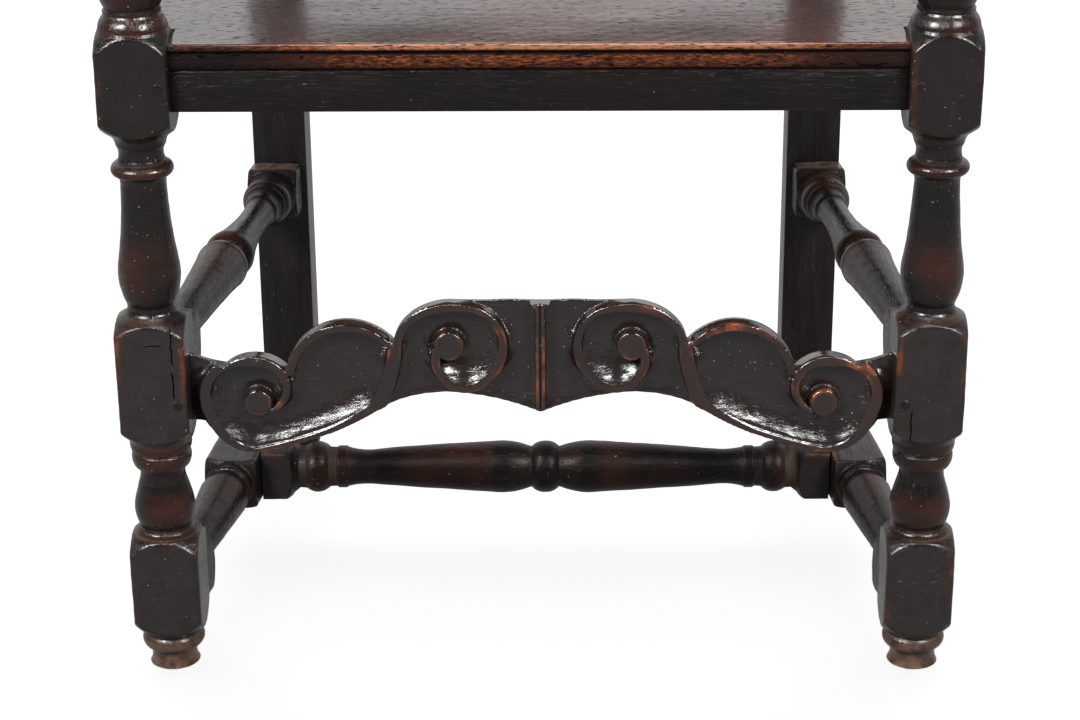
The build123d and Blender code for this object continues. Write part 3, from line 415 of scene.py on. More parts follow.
def side_stretcher(name, side, height, turning, material):
    """A side stretcher: its two end blocks, and between them what the turning gives."""
    along = np.array([-side * math.sin(side_angle), math.cos(side_angle), 0])
    start = np.array([side * side_x(post_back_y), post_back_y, height])
    front_rise, rear_rise = END_BLOCK[1] - END_BLOCK[0], REAR_BLOCK[1] - REAR_BLOCK[0]
    rear_block = (SIDE_LENGTH - REAR_BLOCK[0], SIDE_LENGTH - STANDOFF)
    outline = joined(
        squared(STANDOFF, END_BLOCK[0], 0, front_rise, STRETCHER),
        *turning(END_BLOCK[1], SIDE_LENGTH - REAR_BLOCK[1]),
        squared(*rear_block, rear_rise, 0, STRETCHER),
    )
    turned_member(name + HAND[side], outline, STRETCHER, start, along, UPWARD, material)


def upper_turning(first, last):
    """A long vase from each end, meeting in the middle."""
    middle, half = SIDE_LENGTH / 2, STRETCHER / 2
    return [laid(UPPER_FRONT, first, middle, half), laid(UPPER_REAR, middle, last, half)]


def lower_turning(first, last):
    """A vase from each end, with the block for the cross stretcher between them."""
    half = STRETCHER / 2
    middle = (CROSS_Y - post_back_y) / math.cos(side_angle)
    arch = MIDDLE_BLOCK[1] - MIDDLE_BLOCK[0]
    return [
        laid(LOWER_FRONT, first, middle - MIDDLE_BLOCK[1], half),
        squared(middle - MIDDLE_BLOCK[0], middle + MIDDLE_BLOCK[0], arch, arch, STRETCHER),
        laid(flipped(LOWER_FRONT), middle + MIDDLE_BLOCK[1], last, half),
    ]


def cross_stretcher(material):
    """One half from the middle to a side stretcher's block, and its mirror image."""
    face = side_x(CROSS_Y) - STRETCHER / 2 / math.cos(side_angle)
    rise = CROSS_BLOCK[1] - CROSS_BLOCK[0]
    one_way = joined(
        laid(CROSS, 0, face - CROSS_BLOCK[1], STRETCHER / 2),
        squared(face - CROSS_BLOCK[0], face + SUNK, rise, 0, STRETCHER),
    )
    other_way = [(-n[0],) + n[1:] for n in reversed(one_way)]
    outline = other_way[:-1] + one_way
    origin = np.array([0, CROSS_Y, LOWER_Z])
    turned_member("cross_stretcher", outline, STRETCHER, origin, RIGHTWARD, UPWARD, material)


# ---- seat boards
# Section of the front edge: mm behind its front and below its top.
SEAT_EDGE = [
    (5.0, 0.0), (1.3, 0.9, BOW), (0.2, 3.4), (0.7, 4.6), (3.6, 5.2), (3.6, 6.2), (1.7, 6.7),
    (0.4, 12.0, BOW), (2.4, 17.4), (3.8, 17.8), (3.8, 19.0),
]
SEAT_THICK = 19.0 * mm
COLUMN_STEP = 1.5 * mm  # between the columns of points over a seat board
TOP_POINTS = 90  # of a column, from back to front over the top
EDGE_POINTS = 46  # of a column, down the front edge
LEVEL_FROM = 6 * mm  # behind the edge the top is level
UNDER_FROM = 8 * mm  # and the underside starts
NOTCH_SIDE = 0.02 * mm  # between the two columns at a notch's corner
RUB_MIDDLE = 15 * mm  # middle of the rubbed stretch of the front edge
HOLLOWS = (0.1, 75 * mm)  # depth in mm and scale of the top's worn hollows
TOOL_MARKS = (0.02, 9 * mm)


def board_column(x, box_low, box_high, spread, section, moulded):
    """A column's y and z: to the front over the top, down the edge and back underneath."""
    beside_post = moulded and abs(x) > post_inner_x - CLEAR
    beside_leg = not moulded and abs(x) > leg_inner_x - CLEAR
    start = post_back_y + CLEAR if beside_post else box_low[1]
    end = leg_front_y - CLEAR if beside_leg else box_high[1]
    side_end = post_y + (post_x + spread - abs(x)) / side_slope
    end = max(min(end, side_end), start + LEVEL_FROM)
    over = np.linspace(end, start + LEVEL_FROM if moulded else start, TOP_POINTS)
    front = np.full(EDGE_POINTS, start) if beside_post else start + section[:, 0]
    top, bottom = box_high[2], box_low[2]
    y = np.concatenate([over, front, [start + UNDER_FROM, (start + end) / 2, end, end]])
    under = [bottom, bottom, bottom, (top + bottom) / 2]
    z = np.concatenate([np.full(TOP_POINTS, top), top - section[:, 1], under])
    return y, z


def edge_wear(grid, front, top):
    """The edge's fillet and ovolo are rubbed, most near the middle."""
    reach = post_inner_x - CLEAR
    fade = smooth(reach - np.abs(grid[..., 0] - RUB_MIDDLE), 20 * mm, 130 * mm)
    below = top - grid[..., 2]
    edge = smooth(front + 6 * mm - grid[..., 1], 0, 4 * mm)
    fillet = edge * smooth(below, 4.6 * mm, 3.4 * mm)
    ovolo = smooth(below, 6.6 * mm, 8.0 * mm) * smooth(below, 18.5 * mm, 15.5 * mm) * edge
    return fillet * (1.7 + 2.3 * fade) + ovolo * (0.3 + 2.2 * fade)


def seat_board(node, material, edge_material, seed):
    """A seat board, column by column: its plan follows the posts and the side rails."""
    box_low, box_high = low(node), high(node)
    top, width = box_high[2], box_high[0]
    moulded = box_low[1] < post_back_y
    columns = np.arange(-width, width, COLUMN_STEP)
    if moulded:
        section = sampled([(n[0] * mm, n[1] * mm) + n[2:] for n in SEAT_EDGE])
        inner = post_inner_x - CLEAR
        corners = np.array([-inner - NOTCH_SIDE, -inner, inner, inner + NOTCH_SIDE])
        columns = np.unique(np.concatenate([columns, corners]))
    else:
        section = np.array([(0.0, 0.0), (0.0, SEAT_THICK)])
    section = evenly(section, EDGE_POINTS)
    spread = width - side_x(post_back_y if moulded else box_low[1])
    rings = []
    for x in columns:
        y, z = board_column(x, box_low, box_high, spread, section, moulded)
        rings.append(np.stack([np.full(len(y), x), y, z], axis=-1))
    grid = np.array(rings)
    hollow = HOLLOWS[0] * mm * (1 + ripple(grid, HOLLOWS[1], seed))
    wavy = hollow + TOOL_MARKS[0] * mm * ripple(grid, TOOL_MARKS[1], seed)
    on_top = grid[..., 2] > top - 1e-6
    grid[..., 2] -= np.where(on_top, np.abs(wavy), 0)
    wear = edge_wear(grid, box_low[1], top) if moulded else 0.0
    board = stands_for(grid_object("finished_" + node, grid, {"wear": wear}), node, material)
    board.data.materials.append(edge_material)
    for face in board.data.polygons:
        on_edge = face.center.z < top - 0.7 * mm and face.center.y < box_low[1] + 8 * mm
        face.material_index = 1 if on_edge else 0


# ---- carving
# The outlines and bands are shares: X of half the clear width, then up the board. A stretch is
# a straight (one point) or an arc (two points); a band's stretch ends with its width in mm.
STRETCHER_TOP = [
    [(0.0, 1.43)], [(0.24, 1.43)], [(0.33, 1.37), (0.38, 1.23)], [(0.405, 1.1), (0.416, 0.96)],
    [(0.556, 1.205), (0.722, 0.63)], [(0.804, 0.803), (0.899, 0.677)], [(0.95, 0.72), (1.0, 0.8)],
]
STRETCHER_BOTTOM = [
    [(0.0, 0.08)], [(0.115, 0.24), (0.24, 0.33)], [(0.37, 0.277), (0.468, 0.134)],
    [(0.536, -0.02), (0.616, -0.165)], [(0.728, -0.33), (0.82, -0.394)],
    [(0.915, -0.24), (0.962, -0.02)], [(1.0, -0.02)],
]
STRETCHER_SCROLL = [
    [(0.774, 0.118), 4.0], [(0.722, 0.47), (0.815, 0.735), 8.4],
    [(0.936, 0.56), (0.936, 0.04), 8.0], [(0.888, -0.25), (0.82, -0.35), 3.6],
    [(0.716, -0.255), (0.616, -0.125), 4.5], [(0.522, 0.035), (0.463, 0.181), 10.0],
    [(0.428, 0.52), (0.412, 0.85), 10.0], [(0.385, 1.17), (0.32, 1.345), 7.4],
    [(0.245, 1.38), (0.172, 1.345), 5.4], [(0.104, 0.93), (0.15, 0.52), 6.5],
    [(0.226, 0.4), (0.28, 0.543), 5.5], [(0.297, 0.7), (0.29, 0.87), 7.3],
]
STRETCHER_LOBE = [[(0.428, 0.93), 5.0], [(0.556, 1.145), (0.712, 0.58), 7.0]]
STRETCHER_EYES = [((0.806, 0.228), 10.0), ((0.258, 0.912), 10.6)]
CREST_TOP = [
    [(0.0, 1.0)], [(0.17, 0.99), (0.3, 0.8)], [(0.335, 0.7), (0.345, 0.58)],
    [(0.52, 0.74), (0.69, 0.36)], [(0.82, 0.54), (0.93, 0.4)], [(0.965, 0.39), (1.0, 0.42)],
]
CREST_BOTTOM = [[(0.0, 0.0)], [(1.0, 0.0)]]
CREST_SCROLL = [
    [(0.79, 0.15), 4.0], [(0.75, 0.31), (0.83, 0.42), 6.0], [(0.9, 0.27), (0.8, 0.08), 5.0],
    [(0.57, 0.1), (0.4, 0.25), 6.0], [(0.355, 0.4), (0.335, 0.56), 6.0],
    [(0.28, 0.77), (0.17, 0.925), 6.0], [(0.09, 0.72), (0.115, 0.43), 5.0],
    [(0.19, 0.36), (0.235, 0.52), 5.0],
]
CREST_LOBE = [[(0.36, 0.55), 4.0], [(0.51, 0.69), (0.67, 0.34), 5.0]]
CREST_EYES = [((0.815, 0.235), 7.0), ((0.195, 0.6), 7.0)]
LINE_STEP = 0.6 * mm  # between the points of an outline or a band
BAND_EASE = 5  # points over which a band's corners are eased
DISH = 22.0 * mm  # from a lower band to where its dish is level
RIM_RISE, DISH_RISE, EDGE_RISE = 0.08, 0.9, 0.3  # of the ground, as shares of its depth
MOAT = 1.0 * mm  # how much deeper the ground is round an eye
FACE_STEP = 0.62 * mm  # between the columns of points over a carved face
FACE_ROWS = 150  # points in a column
EDGE_ROUND = 1.4 * mm  # rounding of a carved board's edges
TOP_SLOPE = 3.4 * mm  # how far the top edge falls towards the back
EDGE_STEPS = (0.25, 0.5, 0.75, 1.0)  # shares of the thickness where the edges have points
CARVED_WAVES = [(0.16, 16), (0.07, 5)]
LEAST_DEPTH = 0.02 * mm  # keeps the carving inside the CAD board
SET_BACK = 10.0 * mm  # of the front stretcher's face from the posts' faces
STRETCHER_CUT = (20.0 * mm, 8.4 * mm, True)  # thickness, depth of the ground, reeds or none
CREST_CUT = (22.0 * mm, 4.2 * mm, False)
CREST_FOOT = 527.1  # mm from the bend of the stiles up to the crest's lower edge
CREST_TALL = 92.0  # mm
CREST_AHEAD = 39.0 * mm  # of the crest's face from the stiles' backs
LEAN = math.radians(7.0)
BEND_Z = seat_top + 10.0 * mm
REED_WIDTH, REED_SPREAD = 4.1 * mm, 3.2 * mm  # of one reed, and what the flare adds to it
REED_FOOT, REED_FLARE, REED_TOP = 0.12, 1.36, 1.43  # up the board, as shares


def chain(stretches, place):
    """Evenly spaced points along straights and arcs."""
    here = place(stretches[0][0])
    points = [here]
    for stretch in stretches[1:]:
        ends = [place(share) for share in stretch]
        points += through(here, *ends, 40)[1:] if len(ends) == 2 else [ends[0]]
        here = ends[-1]
    points = np.array(points)
    return evenly(points, int(distances(points)[-1] / LINE_STEP) + 2)


def banded(stretches, place):
    """A band's middle line with its width at every point."""
    line = blurred(chain([stretch[:-1] for stretch in stretches], place), (BAND_EASE, 0))
    ends = [place(stretch[-2]) for stretch in stretches]
    at = [int(np.argmin(np.linalg.norm(line - end, axis=1))) for end in ends]
    widths = np.interp(np.arange(len(line)), at, [stretch[-1] * mm for stretch in stretches])
    return line, widths


def nearest(x, up, line, widths=0.0):
    """Distance to a band's edge, minus inside it, and the same with bands above counted as far."""
    gap, under = np.empty((2,) + x.shape)
    for i in range(len(x)):
        across = x[i][:, None] - line[:, 0]
        above = up[i][:, None] - line[:, 1]
        reach = np.hypot(across, above)
        edge = reach - widths / 2
        gap[i] = edge.min(axis=1)
        lift = smooth(above / (reach + 1e-6), -0.5, 0.8)
        under[i] = (np.maximum(edge, 0) + DISH * (1 - lift)).min(axis=1)
    return gap, under


def dished(x, share_up, gap, under, eye_gap, over_edge, floor, place):
    """Depth of the ground: it climbs to the bands and the lower edge, and sinks at the eyes."""
    rim = np.clip(1 - np.maximum(gap, 0) / DISH, 0, 1) ** 2
    climb = np.clip(1 - under / DISH, 0, 1) ** 2
    climb *= smooth(share_up, 0.8, 0.5) * smooth(eye_gap, 1 * mm, 9 * mm)
    ground = floor - floor * (RIM_RISE * rim + DISH_RISE * climb)
    ground += MOAT * np.exp(-(np.maximum(eye_gap, 0) / (4 * mm)) ** 2)
    inner = smooth(x, place((0.5, 0))[0], place((0.44, 0))[0])
    ground -= EDGE_RISE * floor * inner * np.clip(1 - over_edge / (15 * mm), 0, 1) ** 2
    return blurred(ground, (0, 4))


def add_reed(x, up, depth, place):
    """Two rounded reeds side by side down the middle, spreading at the top."""
    low_end, flare, top_end = (place((0, share))[1] for share in (REED_FOOT, REED_FLARE, REED_TOP))
    spread = REED_WIDTH + REED_SPREAD * smooth(up, flare, top_end)
    inside = smooth(spread - x, -0.2 * mm, 0.7 * mm) * smooth(up, low_end, low_end + 2 * mm)
    across = np.clip(np.abs(x / spread * 2 - 1), 0, 1)
    bead = 0.4 * mm + 1.5 * mm * (1 - np.sqrt(1 - np.minimum(across, 0.98) ** 2))
    return depth * (1 - inside) + bead * inside


def with_back(x, up, depth, thick):
    """The face's columns carried on over the top, down the back and under the lower edge."""
    bottom, top = up[:, :1], up[:, -1:]
    at_bottom, at_top = depth[:, :1], depth[:, -1:]
    turns = [(top - TOP_SLOPE * deep, at_top, deep) for deep in EDGE_STEPS]
    turns += [((bottom + top) / 2, at_bottom, 1.0)]
    turns += [(bottom, at_bottom, deep) for deep in reversed(EDGE_STEPS)]
    x = np.hstack([x] + [x[:, :1]] * len(turns))
    up = np.hstack([up] + [height for height, _, _ in turns])
    return x, up, np.hstack([depth] + [start + (thick - start) * deep for _, start, deep in turns])


def carved_board(node, material, place, plane, half, edges, bands, eyes, cut):
    """A board with raised scroll bands over dished lobes, symmetrical about its middle."""
    origin, out, up_way = plane
    thick, floor, reed = cut
    upper, lower = (chain(edge, place) for edge in edges)
    columns = np.linspace(0, half, int(half / FACE_STEP))
    high_edge, low_edge = (np.interp(columns, *edge.T)[:, None] for edge in (upper, lower))
    share = np.linspace(0, 1, FACE_ROWS)
    x = np.repeat(columns[:, None], FACE_ROWS, axis=1)
    up = low_edge + share * (high_edge - low_edge)
    lines, widths = zip(*(banded(band, place) for band in bands))
    gap, under = nearest(x, up, np.concatenate(lines), np.concatenate(widths))
    eye_line = np.array([place(spot) for spot, _ in eyes])
    eye_gap = nearest(x, up, eye_line, np.array([2 * radius * mm for _, radius in eyes]))[0]
    over_edge, under_edge = (nearest(x, up, edge)[0] for edge in (lower, upper))
    share_up = (up - low_edge) / blurred(high_edge - low_edge, (24, 0))
    ground = dished(x, share_up, gap, under, eye_gap, over_edge, floor, place)
    edge = np.minimum(gap, eye_gap)
    wall = smooth(edge, -0.3 * mm, 0.9 * mm)
    depth = wall * ground + 0.45 * mm * smooth(edge, -1.6 * mm, 0.2 * mm) * (1 - wall)
    if reed:
        depth = add_reed(x, up, depth, place)
    turn = np.clip(EDGE_ROUND - np.minimum(under_edge, over_edge), 0, EDGE_ROUND)
    depth = depth + EDGE_ROUND - np.sqrt(EDGE_ROUND ** 2 - turn ** 2)
    near_top = np.exp(-(high_edge - up) / (6 * mm))
    on_band = 1 - wall
    worn = (blurred(depth, (3, 3)) - depth) / (0.55 * mm)
    worn = worn * 0.7 + on_band * near_top * 2.6
    wave = ripple(columns[:, None] * RIGHTWARD, 31 * mm, 12)[:, None]
    up = up - 0.45 * mm * (1 + wave) * smooth(share, 0.75, 1.0)
    x = np.concatenate([-x[:0:-1], x])
    up, depth, worn, on_band = (np.concatenate([f[:0:-1], f]) for f in (up, depth, worn, on_band))
    spots = np.stack([x, up, depth], axis=-1)
    depth = np.maximum(depth + uneven(spots, CARVED_WAVES, 5) * mm, LEAST_DEPTH)
    x, up, depth = with_back(x, up, depth, thick)
    behind = ((0, 0), (0, x.shape[1] - worn.shape[1]))
    worn = np.pad(worn, behind)
    on_band = np.pad(on_band, behind, constant_values=0.4)
    grid = origin + x[..., None] * RIGHTWARD + up[..., None] * up_way - depth[..., None] * out
    fields = {"wear": worn, "top": on_band * 0.2, "dust": np.clip(-worn - 1.2, 0, 2) * 0.6}
    stands_for(grid_object("carved_" + node, grid, fields), node, material)


def stretcher_place(share):
    """A place on the front stretcher; heights are shares of the posts' middle blocks."""
    unit = MID_BLOCK[1] - MID_BLOCK[0]
    return np.array([share[0] * post_inner_x, MID_BLOCK[0] + share[1] * unit])


def crest_place(share):
    """A place on the crest rail; heights run up the stiles from where they bend."""
    return np.array([share[0] * leg_inner_x, (CREST_FOOT + share[1] * CREST_TALL) * mm])


def front_stretcher(material):
    origin = np.array([0, front_y + SET_BACK, 0])
    carved_board(
        "front_stretcher", material, stretcher_place, (origin, FORWARD, UPWARD),
        post_inner_x - CLEAR, (STRETCHER_TOP, STRETCHER_BOTTOM),
        [STRETCHER_SCROLL, STRETCHER_LOBE], STRETCHER_EYES, STRETCHER_CUT,
    )


def crest_rail(material):
    slope = np.array([0, math.sin(LEAN), math.cos(LEAN)])
    out = np.array([0, -math.cos(LEAN), math.sin(LEAN)])
    origin = np.array([0, leg_front_y + leg_stock, BEND_Z]) + out * CREST_AHEAD
    carved_board(
        "crest_rail", material, crest_place, (origin, out, slope),
        leg_inner_x - CLEAR, (CREST_TOP, CREST_BOTTOM),
        [CREST_SCROLL, CREST_LOBE], CREST_EYES, CREST_CUT,
    )


# ---- colours
def srgb(*display):
    """A colour from 0-255 display values."""
    shares = (value / 255 for value in display)
    return tuple(s / 12.92 if s <= 0.04045 else ((s + 0.055) / 1.055) ** 2.4 for s in shares)


BLACK = srgb(9, 8, 8)
GREYED = srgb(15, 13, 13)
BROWNED = srgb(17, 13, 12)
UMBER = srgb(27, 14, 11)
RUSSET = srgb(50, 23, 14)
RUBBED = srgb(106, 53, 27)
DUST = srgb(50, 41, 33)
PALE = srgb(58, 51, 47)
SPECK = srgb(150, 138, 122)
# painted reflection: a lighter grey-black standing in for the floor's sheen on the blocks' faces
PAINTED_SHEEN = srgb(33, 29, 28)
SETTLED = srgb(84, 70, 60)
SCUFFED = srgb(76, 58, 48)
# painted light: the seat tops' base colours, lighter and warmer than the front edge's BLACK and
# UMBER
SEAT_LIT_DARK = srgb(26, 14, 12)
SEAT_LIT_WARM = srgb(60, 32, 26)
SEAT_RUBBED = srgb(100, 50, 20)
SEAT_PALE = srgb(110, 70, 48)
SEAT_PORE = srgb(5, 4, 4)
OPEN = (0.0, 0.0, 0.0)  # a split or pore, and its gloss
WHITE = (1.0, 1.0, 1.0)


# ---- materials
def shader(name):
    material = bpy.data.materials.new(name)
    material.use_nodes = True
    tree = material.node_tree
    tree.nodes.clear()
    output = tree.nodes.new("ShaderNodeOutputMaterial")
    surface = tree.nodes.new("ShaderNodeBsdfPrincipled")
    tree.links.new(surface.outputs["BSDF"], output.inputs["Surface"])
    return material, tree, surface


class Nodes:
    """Adds nodes to a tree; a value is an output to link, a number or a colour."""

    def __init__(self, tree):
        self.tree = tree

    def plug(self, socket, value):
        if isinstance(value, bpy.types.NodeSocket):
            self.tree.links.new(value, socket)
        else:
            socket.default_value = value

    def node(self, kind, **inputs):
        made = self.tree.nodes.new(kind)
        for key, value in inputs.items():
            self.plug(made.inputs[key], value)
        return made

    def span(self, value, low_in, high_in, low_out=0.0, high_out=1.0):
        ends = {"From Min": low_in, "From Max": high_in, "To Min": low_out, "To Max": high_out}
        made = self.node("ShaderNodeMapRange", Value=value, **ends)
        made.interpolation_type = "SMOOTHSTEP"
        return made.outputs["Result"]

    def maths(self, how, a, b=0.0, kind="ShaderNodeMath"):
        made = self.node(kind)
        made.operation = how
        self.plug(made.inputs[0], a)
        self.plug(made.inputs[1], b)
        return made.outputs["Value"]

    def times(self, a, b):
        return self.maths("MULTIPLY", a, b)

    def plus(self, a, b):
        return self.maths("ADD", a, b)

    def mix(self, share, a, b):
        """Colour a with a share of colour b over it."""
        made = self.node("ShaderNodeMix")
        made.data_type = "RGBA"
        for key, value in (("Factor", share), ("A", a), ("B", b)):
            socket = [s for s in made.inputs if s.name == key and s.enabled][0]
            self.plug(socket, (*value, 1.0) if isinstance(value, tuple) else value)
        return [s for s in made.outputs if s.enabled][0]

    def camera_ray(self):
        """1 for what the camera sees itself, 0 for reflections and light."""
        return self.node("ShaderNodeLightPath").outputs["Is Camera Ray"]


class Wood(Nodes):
    """Builds the node tree of one oak material; grain is the axis that it runs along."""

    def __init__(self, name, grain):
        self.material, tree, self.surface = shader(name)
        super().__init__(tree)
        self.place = self.node("ShaderNodeTexCoord").outputs["Object"]
        self.grain = grain

    def stretched(self, across, along):
        """Object coordinates scaled so that noise draws out along the grain."""
        scale = [along if axis == self.grain else across for axis in "XYZ"]
        mapping = self.node("ShaderNodeMapping", Vector=self.place, Scale=scale)
        return mapping.outputs["Vector"]

    def noise(self, vector, scale=1.0, detail=4.0, rough=0.6):
        inputs = {"Vector": vector, "Scale": scale, "Detail": detail, "Roughness": rough}
        return self.node("ShaderNodeTexNoise", **inputs).outputs["Fac"]

    def attribute(self, name):
        """A vertex field of the mesh, 0 where it has none."""
        made = self.node("ShaderNodeAttribute")
        made.attribute_name = name
        return made.outputs["Fac"]

    def facing_up(self):
        """How far the surface faces up, 1 for the top of a board."""
        normal = self.node("ShaderNodeNewGeometry").outputs["Normal"]
        return self.node("ShaderNodeSeparateXYZ", Vector=normal).outputs["Z"]

    def axis(self, which):
        return self.node("ShaderNodeSeparateXYZ", Vector=self.place).outputs[which]

    def finished(self, colour, rough, shine, height, relief, tint=None):
        """Plugs the surface; relief is the bump's strength and distance."""
        strength, distance = relief
        bump = self.node("ShaderNodeBump", Height=height, Strength=strength, Distance=distance)
        inputs = {"Base Color": colour, "Roughness": rough, "Normal": bump.outputs["Normal"]}
        if tint:
            inputs["Specular Tint"] = tint
        for key, value in inputs.items():
            self.plug(self.surface.inputs[key], value)
        self.surface.inputs["Specular IOR Level"].default_value = shine
        return self.material


# Splits in the front posts' middle blocks: place across, the two ends, and whether upright.
SPLITS = [
    (-259.0 * mm, 245.0 * mm, 276.0 * mm, True),
    (-259.3 * mm, 219.0 * mm, 242.0 * mm, True),
    (261.0 * mm, -280.0 * mm, -266.0 * mm, False),
    (262.4 * mm, 183.0 * mm, 212.0 * mm, True),
]
WANDER, WANDER_SCALE = 4.5 * mm, 110.0  # how far a split wanders in all, and its noise scale
SPLIT_HALF = (0.3 * mm, 0.75 * mm)  # half its width, at its depth and at its rim


def crack(w, place, low_end, high_end, upright):
    """A thin wandering split in a front post's outer face, 1 where it is open."""
    along, across = (w.axis("Z"), w.axis("X")) if upright else (w.axis("X"), w.axis("Z"))
    wander = w.times(w.noise(w.place, WANDER_SCALE, 3.0), WANDER)
    apart = w.maths("SUBTRACT", w.plus(across, wander), place + WANDER / 2)
    line = w.span(w.maths("ABSOLUTE", apart), *SPLIT_HALF, 1.0, 0.0)
    inside = w.times(
        w.span(along, low_end, low_end + 5 * mm), w.span(along, high_end, high_end - 2 * mm)
    )
    at_front = w.span(w.axis("Y"), front_y + 3 * mm, front_y + 2 * mm)
    return w.times(w.times(line, inside), at_front)


def post_cracks(w):
    """All the splits of the front posts, 1 where one is open."""
    found = crack(w, *SPLITS[0])
    for split in SPLITS[1:]:
        found = w.maths("MAXIMUM", found, crack(w, *split))
    return found


def edge_mask(w):
    """Finds arrises on plain boards by comparing the true normal with a rounded one."""
    rounded = w.node("ShaderNodeBevel", Radius=1.6 * mm)
    rounded.samples = 4
    flat = w.node("ShaderNodeNewGeometry").outputs["Normal"]
    alike = w.maths("DOT_PRODUCT", rounded.outputs["Normal"], flat, "ShaderNodeVectorMath")
    return w.span(alike, 0.99, 0.8, 0.0, 2.4)


# Noise scales: across and along the grain, or one number where it is the same all ways.
GRAIN, PORES, PALE_MARKS, DENTS = (520, 26), (1500, 60), (1300, 45), (360, 230)
CLOUDS, PATCHES, MOTTLES, SPECKS, SCUFFS = 16.0, 27.0, 95.0, 620.0, 430.0
SEAT_STREAKS, SEAT_DASHES, SEAT_MOTTLES = (210, 9), (520, 115), (900, 170)
SEAT_CLOUDS, SEAT_DENTS = 9.0, 120.0
NO_LEDGE = 9.0  # metres behind the chair: no surface of it gathers dust


def polished_skin(w, lines, fine, cloud, mottle, dark, warm, patches):
    """Dark skin, warm patches, grain and pores, what the field top adds, and a painted floor
    reflection from the field painted_floor_sheen.
    """
    colour = w.mix(w.span(cloud, 0.4, 0.66, 0.0, patches), dark, warm)
    colour = w.mix(w.span(lines, 0.46, 0.72, 0.0, 0.3), colour, warm)
    colour = w.mix(w.span(fine, 0.6, 0.72, 0.0, 0.45), colour, tuple(c * 0.45 for c in dark))
    warmth = w.times(w.attribute("top"), w.span(cloud, 0.36, 0.62, 0.1, 1.0))
    colour = w.mix(warmth, colour, RUSSET)
    # painted floor reflection: the blocks' faces are painted lighter, most of all below about 0.3
    # m where they face the floor
    painted_floor_sheen = w.times(w.attribute("painted_floor_sheen"), w.span(w.axis("Z"), 0.42, 0.3, 0.3, 1.0))
    painted_floor_sheen = w.times(painted_floor_sheen, w.span(mottle, 0.3, 0.65, 0.65, 1.0))
    return w.mix(painted_floor_sheen, colour, PAINTED_SHEEN)


def rubbed_edges(w, colour, mottle, patchy, wear, edges):
    """Arrises rubbed to russet, and to bright brown where they are worn most."""
    edge = w.attribute("wear")
    if edges:
        edge = w.plus(edge, edge_mask(w))
    rubbed = w.times(w.span(edge, 0.5, 1.8), patchy)
    colour = w.mix(w.times(rubbed, 0.85 * wear), colour, RUSSET)
    bright = w.times(w.span(edge, 1.2, 2.6), w.span(mottle, 0.44, 0.62))
    return w.mix(w.times(w.times(bright, patchy), wear), colour, RUBBED)


def marked(w, colour, mottle, ledge_y, pale_share):
    """Pale marks, specks, and dust on the ledges behind ledge_y."""
    pale = w.noise(w.stretched(*PALE_MARKS), detail=2.0, rough=0.5)
    pale = w.times(w.span(pale, 0.62, 0.72), w.span(mottle, 0.4, 0.6))
    colour = w.mix(w.times(pale, pale_share), colour, PALE)
    specks = w.span(w.noise(w.place, SPECKS, 1.0, 0.4), 0.765, 0.8)
    colour = w.mix(w.times(specks, 0.7), colour, SPECK)
    upward = w.span(w.facing_up(), 0.8, 0.97)
    settled = w.times(upward, w.span(w.axis("Y"), ledge_y - 4 * mm, ledge_y))
    settled = w.times(settled, w.span(mottle, 0.3, 0.55, 0.2, 0.8))
    return w.mix(settled, colour, SETTLED)


def scuffed_feet(w, colour, mottle, patchy):
    """Scuffs at the front posts' feet and marks a little above them."""
    height = w.axis("Z")
    foot = w.times(w.span(height, 33 * mm, 14 * mm), w.span(mottle, 0.32, 0.6, 0.25, 1.0))
    colour = w.mix(foot, colour, SCUFFED)
    marks = w.span(w.noise(w.place, SCUFFS, 5.0, 0.7), 0.56, 0.68)
    marks = w.times(marks, w.span(height, 0.14, 0.08, 0.0, 0.75))
    return w.mix(w.times(marks, patchy), colour, SCUFFED)


def oak(name, grain, dark=BLACK, warm=UMBER, gloss=0.13, wear=1.0, patches=0.3, shine=0.32,
        edges=False, posts=False, ledge_y=NO_LEDGE, pored=1.0, dusty=0.35):
    """Old polished oak: dark skin, warm patches, rubbed arrises, dust and grain."""
    w = Wood(name, grain)
    lines = w.noise(w.stretched(*GRAIN), detail=5.0)
    fine = w.noise(w.stretched(*PORES), detail=3.0)
    cloud = w.noise(w.place, CLOUDS, 3.0, 0.55)
    mottle = w.noise(w.place, MOTTLES)
    patchy = w.span(w.noise(w.place, PATCHES, 5.0, 0.66), 0.44, 0.64)
    colour = polished_skin(w, lines, fine, cloud, mottle, dark, warm, patches)
    colour = rubbed_edges(w, colour, mottle, patchy, wear, edges)
    dust = w.times(w.attribute("dust"), w.span(cloud, 0.35, 0.6, 0.05, dusty))
    colour = w.mix(dust, colour, DUST)
    colour = marked(w, colour, mottle, ledge_y, 0.2 if posts else 0.45)
    pores = w.plus(w.span(lines, 0.5, 0.8, 0.0, -0.7), w.span(fine, 0.55, 0.75, 0.0, -0.5))
    dents = w.noise(w.stretched(*DENTS), rough=0.65)
    height = w.plus(w.times(pores, pored), w.times(dents, 1.1))
    tint = None
    if posts:
        colour = scuffed_feet(w, colour, mottle, patchy)
        split = post_cracks(w)
        colour = w.mix(split, colour, OPEN)
        tint = w.mix(split, WHITE, OPEN)
        height = w.maths("SUBTRACT", height, w.times(split, 2.0))
    rough = w.span(lines, 0.3, 0.7, gloss - 0.03, gloss + 0.02 + 0.08 * pored)
    rough = w.plus(rough, w.times(dust, 0.4))
    return w.finished(colour, rough, shine, height, (0.42, 0.5 * mm), tint)


